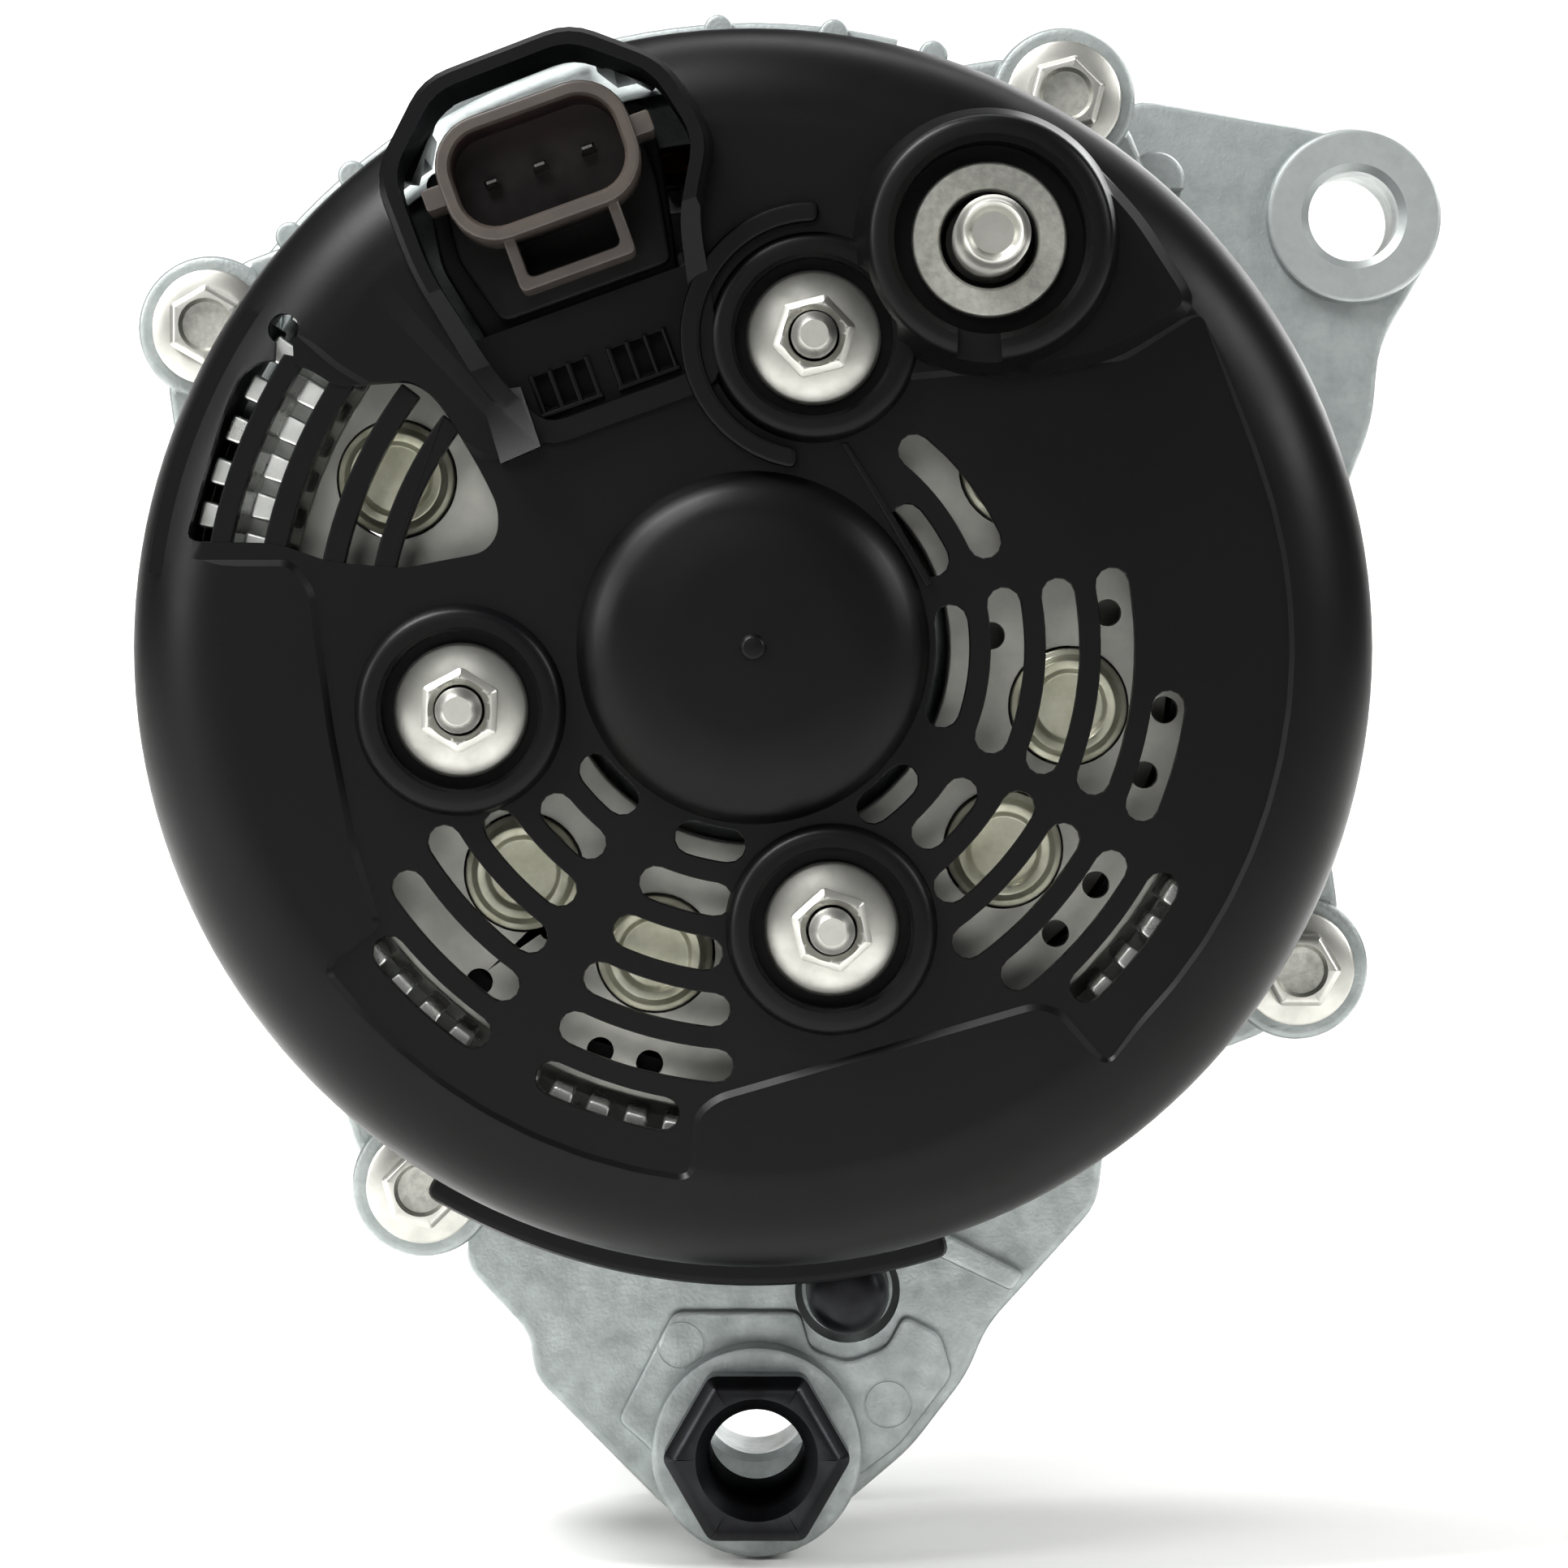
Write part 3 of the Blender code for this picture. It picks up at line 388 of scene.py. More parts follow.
def combine(piece, tools, operation):
    tool = together(tools)
    before = piece.data
    for nudge in NUDGES:
        piece.data = before.copy()
        tool.data.transform(Matrix.Translation(nudge))
        pick(piece)
        modifier = piece.modifiers.new("combine", "BOOLEAN")
        modifier.operation = operation
        modifier.solver = "MANIFOLD"
        modifier.object = tool
        bpy.ops.object.modifier_apply(modifier=modifier.name)
        if is_closed(piece.data):
            break
    else:
        raise RuntimeError(f"{piece.name} and {tool.name} don't make one closed shape")
    for mesh in (before, tool.data):
        bpy.data.meshes.remove(mesh)
    return piece


def carve(piece, *tools):
    """Cuts tools that don't touch each other out of the piece."""
    return combine(piece, tools, "DIFFERENCE")


def build_up(piece, *tools):
    """Adds the tools to the piece, one after the other."""
    for tool in tools:
        combine(piece, [tool], "UNION")
    return piece


def copied(piece, matrix=Matrix()):
    """A copy with its own mesh, moved by the matrix."""
    pick(piece)
    bpy.ops.object.duplicate(linked=False)
    copy = bpy.context.object
    copy.data.transform(matrix)
    return copy


def turned_copies(piece, count, first=0.0):
    """The piece repeated round the shaft, as one object."""
    copies = [piece]
    for i in range(1, count):
        copies.append(copied(piece, Matrix.Rotation(-math.tau * i / count, 4, "Y")))
    whole = together(copies)
    whole.data.transform(Matrix.Rotation(-math.radians(first), 4, "Y"))
    return whole


def deliver(piece, name, material, body="housing", replaces=(), angle=38.0):
    """Names the finished piece, gives it its surface and joins it to the frame."""
    piece.name = name
    piece.data.name = name
    pick(piece)
    bpy.ops.object.shade_smooth_by_angle(angle=math.radians(angle))
    weighting = piece.modifiers.new("weighting", "WEIGHTED_NORMAL")
    weighting.keep_sharp = True
    bpy.ops.object.modifier_apply(modifier=weighting.name)
    piece.data.materials.clear()
    piece.data.materials.append(surface(material))
    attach(piece, body)
    if replaces:
        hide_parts(*replaces)
    return piece


# ---- materials -----------------------------------------------------------------------------
# What each finish is, how its surface was made and what that gives the eye. Colours are sRGB,
# lengths are millimetres. "patch" is the size of the broad changes of tone and "grain" that of
# the fine relief, whose height is "relief". A grain that would be too fine to see is drawn
# coarser, at about 0.3 mm.
Finish = namedtuple(
    "Finish", "dark light roughness patch grain relief metallic coat specular hoops laminations",
    defaults=(0.0, 0.0, 0.5, None, None),
)
FINISHES = {
    # Glass-filled nylon, injection moulded in an etched tool: dull black, fine even grain.
    "moulded_nylon": Finish("#020202", "nylon", (0.34, 0.44), 16.0, 0.35, 0.008, specular=0.12),
    # The same nylon under the connector, darker for the dust and shade it keeps.
    "sheltered_nylon": Finish("#060606", "#0B0B0B", (0.5, 0.6), 9.0, 0.4, 0.02, specular=0.12),
    # Die-cast aluminium alloy, shot blasted: pale grey, faintly mottled, with a soft sheen.
    "die_cast_aluminium": Finish("#828887", "casting", (0.4, 0.52), 3.4, 0.45, 0.045, metallic=0.7),
    # The same casting where a cutter has faced it: flatter and more even, with a fine grain.
    "faced_aluminium": Finish("#969B9A", "#A9AEAD", (0.36, 0.44), 5.0, 0.3, 0.008, metallic=0.75),
    # Rolled aluminium of the heat sinks, filmed with olive lacquer: satin and slightly warm.
    "lacquered_aluminium": Finish(
        "#9C9C96", "#BDBDB6", (0.34, 0.46), 10.0, 0.3, 0.008, metallic=0.8,
    ),
    # Copper diode cups under nickel plate that has yellowed: olive, satin.
    "olive_plate": Finish("#B4B39C", "#D6D5C2", (0.34, 0.46), 4.0, 0.3, 0.01, metallic=0.8),
    # Bare pressed fins, the brightest metal behind the cover: their pale aluminium raised towards
    # white as painted light, so that they look lit in the shade there.
    "fins_with_painted_light": Finish("#DEE0DC", "#F4F5F1", (0.24, 0.36), 3.0, 0.4, 0.008, metallic=0.85),
    # Bright zinc electroplate on cold-formed steel: silvery, softly shining, a few pale stains.
    "zinc_plate": Finish("#A6A6A0", "zinc", (0.31, 0.4), 4.5, 0.5, 0.005, metallic=0.95),
    # Tumbled zinc on the washer: grey and speckled with small knocks. In the bolts' dimples its
    # darker grey is painted shade.
    "tumbled_zinc_and_dimple_shade": Finish("#93938D", "#AFAFA8", (0.38, 0.5), 1.0, 0.35, 0.02, metallic=0.85),
    # Tin on the connector's blades, its colour darkened to grey as painted shade for the deep
    # socket they stand in: satin.
    "tin_with_painted_shade": Finish("#4E4E4C", "#6C6C69", (0.36, 0.48), 1.5, 0.3, 0.008, metallic=0.9),
    # Black oxide over machined steel: near black, with the sheen of oiled metal.
    "black_oxide": Finish("#141416", "#232427", (0.26, 0.4), 6.0, 0.35, 0.012, metallic=0.85),
    # Black electrophoretic paint on the steel pulley: smooth, deep and slightly glossy.
    "dipped_paint": Finish("#111213", "#191A1B", (0.24, 0.32), 12.0, 0.5, 0.008, coat=0.3),
    # Ground and hardened steel of the shaft and bearing rings: bright, cool, fine hoops.
    "ground_steel": Finish(
        "#A9ABAD", "#C9CBCD", (0.18, 0.26), 8.0, 0.3, 0.004, metallic=1.0, hoops=0.4,
    ),
    # Forged steel of the claw poles, left as blasted: mid grey, slightly rough.
    "forged_steel": Finish("#4D4E50", "#68696B", (0.42, 0.55), 5.0, 0.5, 0.03, metallic=0.95),
    # Stack of 0.5 mm electrical steel sheets, drawn at 0.9 mm so that the edges still show.
    "laminated_steel": Finish(
        "#5B5D60", "#7B7D80", (0.38, 0.5), 6.0, 0.4, 0.02, metallic=0.95, laminations=0.9,
    ),
    # Galvanised fan sheet, pressed: pale, with a little bloom.
    "pressed_steel": Finish("#8D9092", "#AEB1B3", (0.28, 0.42), 4.0, 0.5, 0.01, metallic=1.0),
    # Copper hairpins under clear enamel: orange brown with a wet gloss.
    "enamelled_copper": Finish(
        "#7C3A1B", "copper", (0.28, 0.38), 5.0, 0.6, 0.008, metallic=0.85, coat=0.6,
    ),
    # Bare copper of the slip rings, polished by the brushes into hoops.
    "rubbed_copper": Finish(
        "#A5623F", "#C07A54", (0.16, 0.24), 4.0, 0.3, 0.006, metallic=1.0, hoops=0.5,
    ),
    # Polyester moulding of the connector's rim: dark brown grey, satin.
    "socket_plastic": Finish("#2A2421", "socket", (0.36, 0.46), 5.0, 0.3, 0.008, specular=0.45),
    # The inside of the connector: the dark red-brown seal round the pins.
    "seal_plastic": Finish("#120807", "#1C0E0C", (0.4, 0.55), 4.0, 0.4, 0.01, specular=0.25),
    # Pressed carbon of the brushes: dead black grey with a fine sparkle.
    "pressed_carbon": Finish("#202021", "#2C2C2D", (0.55, 0.7), 2.0, 0.25, 0.02, metallic=0.2),
}


COAT_ROUGHNESS = 0.12


def add_node(tree, kind, inputs=None, **settings):
    """Adds a node, sets it and links or fills its inputs."""
    node = tree.nodes.new(kind)
    for name, value in settings.items():
        setattr(node, name, value)
    for socket, value in (inputs or {}).items():
        if isinstance(value, bpy.types.NodeSocket):
            tree.links.new(value, node.inputs[socket])
        else:
            node.inputs[socket].default_value = value
    return node


def chosen_colour(value):
    """A hex colour, or the name of one of the user's colours, as four linear numbers."""
    return [*(linear(value) if value.startswith("#") else getattr(colours(), value)), 1.0]


def surface(name):
    """The material of this finish, made when it is first asked for."""
    made = bpy.data.materials.get(name)
    if made:
        return made
    finish = FINISHES[name]
    material = bpy.data.materials.new(name)
    material.use_nodes = True
    tree = material.node_tree
    shader = tree.nodes["Principled BSDF"]
    where = add_node(tree, "ShaderNodeTexCoord").outputs["Object"]
    patches = add_node(
        tree, "ShaderNodeTexNoise",
        {"Vector": where, "Scale": 1 / (finish.patch * MM), "Detail": 4.0, "Roughness": 0.6},
    ).outputs["Fac"]
    tone = add_node(tree, "ShaderNodeValToRGB", {"Fac": patches})
    dark, light = tone.color_ramp.elements
    dark.position, light.position = 0.32, 0.68
    dark.color, light.color = map(chosen_colour, (finish.dark, finish.light))
    low, high = finish.roughness
    dullness = add_node(
        tree, "ShaderNodeMapRange",
        {"Value": patches, "From Min": 0.3, "From Max": 0.7, "To Min": high, "To Max": low},
    ).outputs["Result"]
    height = add_node(
        tree, "ShaderNodeTexNoise",
        {"Vector": where, "Scale": 1 / (finish.grain * MM), "Detail": 2.0},
    ).outputs["Fac"]
    if finish.hoops:
        flat = add_node(
            tree, "ShaderNodeMapping", {"Vector": where, "Scale": (1.0, 40.0, 1.0)}
        ).outputs["Vector"]
        height = add_node(
            tree, "ShaderNodeTexNoise",
            {"Vector": flat, "Scale": 1 / (40 * finish.hoops * MM), "Detail": 3.0},
        ).outputs["Fac"]
    if finish.laminations:
        sheets = add_node(
            tree, "ShaderNodeTexWave",
            {"Vector": where, "Scale": math.pi / 10 / (finish.laminations * MM),
             "Distortion": 0.0},
            wave_type="BANDS", bands_direction="Y",
        ).outputs["Fac"]
        height = add_node(
            tree, "ShaderNodeMath", {0: sheets, 1: height}, operation="ADD"
        ).outputs["Value"]
        tree.links.new(sheets, tone.inputs["Fac"])
    relief = add_node(
        tree, "ShaderNodeBump", {"Height": height, "Strength": 1.0, "Distance": finish.relief * MM}
    ).outputs["Normal"]
    tree.links.new(tone.outputs["Color"], shader.inputs["Base Color"])
    tree.links.new(dullness, shader.inputs["Roughness"])
    tree.links.new(relief, shader.inputs["Normal"])
    for socket, value in (("Metallic", finish.metallic), ("Coat Weight", finish.coat),
                          ("Coat Roughness", COAT_ROUGHNESS),
                          ("Specular IOR Level", finish.specular)):
        shader.inputs[socket].default_value = value
    return material


# ---- the cover -----------------------------------------------------------------------------
RECESS = (
    [(-60.7, 9.4), (-49.4, 9.4), (-47.0, 6.3), (-44.9, -8.9), (-42.5, -21.1), (-39.8, -29.8)]
    + arc(57.0, 217.0, 263.0, 8)
    + [(-6.3, -49.8), (-4.0, -47.9), (30.2, -38.0), (32.8, -38.6), (38.0, -44.5)]
    + arc(57.5, -44.0, 20.6, 12)
    + [(48.0, 35.9), (39.8, 30.7), (15.0, 28.5), (-3.3, 28.5), (-28.5, 19.8), (-45.0, 30.0),
       (-50.3, 34.6), (-61.2, 12.0)]
)
# For each fan of air slots: the row, counted outwards, and the angles it runs between.
SLOTS = (
    (0, -18.5, 7.5), (1, -20.5, 9.8), (2, -20.8, 9.8), (3, -21.0, 10.0), (4, -22.0, -8.2),
    (0, -53.0, -42.0), (1, -46.6, -35.2), (2, -50.4, -31.2), (3, -53.8, -31.8),
    (4, -51.0, -31.5), (5, -45.4, -30.6),
    (0, -108.0, -97.0), (1, -112.5, -98.5), (2, -113.5, -98.8), (3, -114.8, -96.2),
    (4, -115.0, -95.0), (5, -115.0, -101.0),
    (0, -142.0, -131.0), (1, -140.4, -130.0), (2, -144.6, -128.6), (3, -147.8, -127.6),
    (4, -145.2, -126.6), (5, -140.0, -126.0),
    (0, 26.0, 39.5), (1, 24.6, 50.6),
)
WINDOW = [
    (-61.0, 11.4), (-51.1, 11.2), (-45.4, 9.2), (-37.4, 8.5), (-34.1, 9.2), (-28.9, 10.2),
    (-27.4, 12.0), (-27.3, 15.0), (-29.2, 18.9), (-32.7, 24.8), (-34.4, 27.0), (-36.7, 28.5),
    (-42.4, 28.1), (-44.6, 27.8), (-47.8, 30.0), (-52.4, 31.0), (-55.2, 29.4), (-57.0, 25.0),
]
WINDOW_BARS = ((40.4, 2.4), (45.9, 2.4), (52.4, 2.5), (58.2, 2.3))
CHIMNEY = [(-21.0, 61.0), (-12.5, 69.0), (4.5, 69.3), (13.0, 62.0), (15.0, 52.5), (10.5, 45.0),
           (6.6, 27.6), (-14.0, 27.6), (-18.0, 36.5), (-20.8, 49.0)]
CHIMNEY_OPENING = [(-18.7, 60.2), (-11.6, 66.8), (3.6, 67.1), (10.8, 61.0), (12.6, 53.0),
                   (8.2, 45.5), (4.7, 29.9), (-12.8, 29.9), (-15.9, 37.0), (-18.6, 49.3)]
# Where the chimney opens through the side wall, and the hood and lip that close it again.
THROAT = [(-16.6, 61.6), (-10.6, 72.0), (2.6, 72.0), (9.4, 61.6)]
HOOD_HEAD = [(-19.4, 61.2), (-12.4, 68.7), (4.4, 69.1), (12.8, 62.0), (10.8, 61.0), (3.7, 67.4),
             (-11.7, 67.1), (-17.6, 60.4)]
HOOD_FOOT = [(-19.4, 62.8), (-13.4, 71.0), (5.2, 71.4), (12.8, 64.2), (10.8, 63.0), (4.4, 69.9),
             (-12.6, 69.5), (-17.6, 62.0)]
HOOD_LIP = [(-13.2, 70.2), (5.0, 70.4), (5.0, 71.7), (-13.2, 71.4)]
COMB_STARTS, COMB_PITCH = (-12.2, -3.4), 2.1
CUP_SHOULDER = [(12.5, 46.0), (12.0, 38.0), (17.0, 30.5), (27.0, 28.6), (38.4, 30.6), (48.0, 36.4),
                (41.5, 46.5), (33.0, 55.5), (24.0, 58.0), (16.0, 54.0)]


def shoulder(centre, start_y, turn_radius):
    """Profile of a shell's rounded shoulder from its side wall to its face."""
    return [
        (centre + turn_radius * math.cos(math.radians(9 * step)),
         start_y - turn_radius * math.sin(math.radians(9 * step)))
        for step in range(11)
    ]


def flared(outline, low, floor, top, flare):
    """A cutter whose wall leans outwards above the floor, so the edge it leaves is eased."""
    return stepped(outline, (low, 0), (floor + flare, 0), (top, flare * 1.4))


def cover_shell():
    rim = front_end("rear_cover")
    outside = [(0.0, rim), (67.0, rim), (67.5, rim - 0.6)]
    outside += shoulder(56.0, -152.5, 11.5) + [(0.0, COVER_FACE)]
    shell = turned(outside)
    chimney = rounded(tilted(CHIMNEY), 3.0)
    build_up(
        shell,
        stepped(chimney, (-152.6, 0), (-165.0, 0), (-170.2, -0.35), (-171.0, -0.9)),
        plate(rounded(sector(62.0, 71.4, -121.0, -72.0, 16), 1.5), -138.0, -130.5, 1.0),
    )
    slope = 0.9
    carve(shell, stepped(rounded(RECESS, 1.2), (RECESS_FLOOR, 0), (RECESS_FLOOR - slope, slope)))
    inside = [(0.0, -100.0), (65.2, -100.0)]
    inside += shoulder(56.0, -152.5, 9.25) + [(0.0, COVER_SKIN)]
    return carve(shell, turned(inside, steps=sizes().round_steps - 8))


def cut_openings(shell):
    width, pitch = sizes().slot_width / MM, sizes().slot_pitch / MM
    first = sizes().slot_first / MM
    slots = []
    for row, start, end in SLOTS:
        radius = first + pitch * row
        slots.append(
            flared(slot_outline(radius, width, start, end), -158.0, RECESS_FLOOR, -164.2, 0.3)
        )
    carve(shell, *slots)
    carve(shell, flared(rounded(WINDOW, 1.6), -152.0, RECESS_FLOOR, -166.0, 0.3))
    carve(shell, drum(1.7, -170.0, -150.0, (-50.4, 34.2), sides=24))
    carve(shell, plate([(-51.4, 29.5), (-49.2, 29.5), (-49.4, 34.2), (-51.2, 34.2)],
                       -170.0, -150.0))
    opening = rounded(tilted(CHIMNEY_OPENING), 2.4)
    carve(shell, plate(opening, -180.0, -150.0))
    carve(shell, plate(rounded(tilted(THROAT), 1.2), -152.3, -120.0))
    build_up(shell, loft([at_depth(tilted(HOOD_HEAD), -153.6),
                          at_depth(tilted(HOOD_FOOT), front_end("rear_cover") - 0.8)]))
    build_up(shell, plate(tilted(HOOD_LIP), -132.6, -123.4))
    along, across = math.cos(REGULATOR_TILT), math.sin(REGULATOR_TILT)
    slope = [(20.0, -164.9), (38.0, -164.9), (47.5, -171.4), (47.5, -180.0), (20.0, -180.0)]
    ends = [
        [(t * along - u * across, y, t * across + u * along) for u, y in slope]
        for t in (-26.0, 22.0)
    ]
    return carve(shell, loft(ends))


def add_cover_details(shell):
    for radius, width in WINDOW_BARS:
        bar = rounded(sector(radius - width / 2, radius + width / 2, 143.0, 172.0, 14), 0.3)
        bar = plate(bar, -163.15, -160.4, 0.3)
        within = plate(grown(rounded(WINDOW, 1.6), 0.9), -170.0, -150.0)
        combine(bar, [within], "INTERSECT")
        build_up(shell, bar)
    wall = rounded(sector(62.9, 65.6, 146.0, 173.0, 10), 0.4)
    build_up(shell, plate(wall, -160.6, -136.0))
    floor = tilted([(-13.5, 29.3), (5.3, 29.3), (7.5, 41.2), (-17.2, 41.2)])
    build_up(shell, plate(floor, -161.1, -159.5))
    combs = []
    for left in COMB_STARTS:
        for tooth in range(3):
            slit = left + COMB_PITCH * tooth
            combs.append(plate(tilted(box_outline(slit, slit + 1.5, 31.6, 35.4)), -163.0, -158.0))
    carve(shell, *combs)
    ribs = []
    for left in COMB_STARTS:
        for tooth in range(4):
            rib = left - 0.55 + COMB_PITCH * tooth
            ribs.append(plate(tilted(box_outline(rib, rib + 0.5, 31.1, 35.6)), -162.7, -160.7, 0.2))
        foot = tilted(box_outline(left - 0.7, left + 6.4, 30.7, 31.3))
        ribs.append(plate(foot, -162.7, -160.8, 0.2))
    build_up(shell, *ribs)
    hub = [(0.0, -168.0), (11.0, -167.75), (15.4, -167.0), (18.2, -165.2), (19.2, -162.6),
           (19.2, -161.9), (0.0, -161.9)]
    build_up(shell, turned(hub, 2.0), turned([(0.0, -168.5), (1.1, -168.45), (1.5, -167.9),
                                              (1.5, -167.0), (0.0, -167.0)], 0.2, 32))
    for centre in STUDS:
        boss = [(0.0, -165.4), (10.9, -165.4), (11.5, -162.8), (11.5, -158.9), (0.0, -158.9)]
        build_up(shell, turned(boss, 1.1, 72, centre))
    collar = rounded(sector(12.2, 14.4, 88.0, 262.0, 16), 0.9)
    collar = [(x + STUDS[0][0], z + STUDS[0][1]) for x, z in collar]
    build_up(shell, plate(collar, -165.9, -163.1, 0.5))
    build_up(shell, stepped(rounded(CUP_SHOULDER, 3.0), (-160.2, 0), (-164.6, 0), (-166.6, -1.2)))
    cup = [(0.0, -172.5), (12.9, -172.5), (14.2, -165.0), (14.6, -162.9), (0.0, -162.9)]
    build_up(shell, turned(cup, 1.2, 96, OUTPUT))
    rib_line = [(9.4, 21.9), (10.1, 21.9), (14.2, 15.6), (19.2, 6.9), (18.5, 6.6), (13.5, 15.2)]
    build_up(shell, plate(rib_line, -163.9, -163.0, 0.15))
    ramp = [(-29.3, 27.3), (-24.9, 27.9), (-22.6, 21.4), (-26.9, 19.6)]
    crest = [(x, y, z) for (x, z), y in zip(ramp, (-163.1, -164.2, -168.0, -166.8))]
    build_up(shell, loft([at_depth(ramp, -162.9), crest]))


def cut_wells(shell):
    for centre in STUDS:
        well = [(0.0, -170.0), (8.9, -170.0), (8.9, -165.2), (8.5, -164.7), (8.5, NUT_SEAT + 0.3),
                (3.0, NUT_SEAT + 0.3), (3.0, -150.0), (0.0, -150.0)]
        carve(shell, turned(well, steps=72, centre=centre))
    well = [(0.0, -180.0), (10.9, -180.0), (10.9, -172.2), (10.2, -171.4), (10.2, -165.6),
            (5.0, -165.6), (5.0, -150.0), (0.0, -150.0)]
    carve(shell, turned(well, steps=88, centre=OUTPUT))
    low = (OUTPUT[0] - 1.2, OUTPUT[1] - 13.0)
    carve(shell, plate(rounded([(low[0] - 2.6, low[1] - 4), (low[0] + 2.6, low[1] - 4),
                                (low[0] + 2.2, low[1] + 4), (low[0] - 2.2, low[1] + 4)], 0.6),
                       -178.0, -170.6))
    notches = [drum(7.3, -136.0, -120.0, centre, sides=40) for centre in BOLTS]
    carve(shell, *notches)
    carve(shell, plate([(66.0, -29.4), (60.2, -27.8), (60.0, -25.6), (66.6, -26.4)],
                       -150.0, -120.0))


class ALTERNATOR_OT_rear_cover(bpy.types.Operator):
    """Moulded rear cover: shell, slots, barred window, nut wells, stud cup, connector collar"""

    bl_idname = "alternator.rear_cover"
    bl_label = "Rear cover"

    def execute(self, context):
        shell = cover_shell()
        cut_openings(shell)
        add_cover_details(shell)
        cut_wells(shell)
        deliver(shell, "moulded_cover", "moulded_nylon", replaces=["rear_cover"],
                angle=30.0)
        return {"FINISHED"}


class ALTERNATOR_OT_cover_fasteners(bpy.types.Operator):
    """Three studs and their flanged nuts"""

    bl_idname = "alternator.cover_fasteners"
    bl_label = "Cover studs and nuts"

    def execute(self, context):
        for number, centre in enumerate(STUDS, 1):
            tip = rear_end(f"cover_stud_{number}")
            stud = [(0.0, tip), (1.5, tip), (1.9, tip + 0.4)]
            stud += threads(2.45, tip + 0.9, tip + 9.0, 0.8, 0.3)
            stud += [(2.5, tip + 9.6), (2.5, -131.6), (0.0, -131.6)]
            deliver(turned(stud, steps=40, centre=centre), f"threaded_stud_{number}", "zinc_plate",
                    replaces=[f"cover_stud_{number}"])
            flange = [(0.0, NUT_SEAT - 1.8), (4.6, NUT_SEAT - 1.8), (6.85, NUT_SEAT - 1.3),
                      (7.25, NUT_SEAT - 0.9), (7.25, NUT_SEAT - 0.1), (6.9, NUT_SEAT),
                      (0.0, NUT_SEAT)]
            nut = turned(flange, steps=64, centre=centre)
            hexagon = rounded(circle(4.6, 6, centre, 14.0 * number), 0.35, 3)
            build_up(nut, loft([
                at_depth(hexagon, NUT_SEAT - 1.0), at_depth(hexagon, NUT_SEAT - 4.7),
                at_depth(grown(hexagon, -0.5), NUT_SEAT - 5.2),
                at_depth(grown(hexagon, -0.75), NUT_SEAT - 5.3),
                at_depth(about(hexagon, centre, 0.3), NUT_SEAT - 5.3),
            ]))
            bore = [(0.0, -172.0), (3.4, -172.0), (3.4, NUT_SEAT - 5.3), (2.75, NUT_SEAT - 4.8),
                    (2.75, -150.0), (0.0, -150.0)]
            carve(nut, turned(bore, steps=44, centre=centre))
            deliver(nut, f"flange_nut_{number}", "zinc_plate",
                    replaces=[f"cover_nut_{number}"])
        return {"FINISHED"}


# ---- the cast frames -----------------------------------------------------------------------
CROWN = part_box("rear_frame")[1][2] / MM - 0.9      # radius of the rear frame's proud crown
RIB_ANGLES = (138.4, 130.3, 93.2, 82.5, 73.1)      # cast bumps round the crown
FRONT_JOINT, REAR_JOINT = -84.0, -108.0            # where each frame meets the core


def lugs(low, high, radius):
    """The four through-bolt lugs, each with the web that carries it."""
    pieces = []
    web = rounded([(62.0, -13.5), (68.6, -13.0), (72.6, -8.0), (73.0, -5.0), (73.0, 5.0),
                   (72.6, 8.0), (68.6, 13.0), (62.0, 13.5)], 2.0)
    for angle in BOLT_ANGLES:
        c, s = math.cos(math.radians(angle)), math.sin(math.radians(angle))
        outline = [(x * c - z * s, x * s + z * c) for x, z in web]
        pieces.append(plate(outline, low + 1.4, high - 1.4, sizes().cast_edge / MM))
    for centre in BOLTS:
        pieces.append(drum(radius, low, high, centre, sizes().cast_edge / MM, 56))
    return pieces


def windows(inner, outer, low, high):
    """Cutters for the eight air windows between a frame's spokes."""
    return [
        plate(rounded(sector(inner, outer, first - 13.5, first + 13.5, 8), 2.5), low, high)
        for first in range(17, 377, 45)
    ]


def vents(low, high):
    """Cutters for the ten vents round a frame's rim."""
    cutter = plate(rounded(box_outline(58.0, 78.0, -4.5, 4.5), 0.0), low, high)
    return turned_copies(cutter, 10, 1.0)


def bolt_bores(low, high):
    return [drum(3.4, low, high, centre, sides=32) for centre in BOLTS]


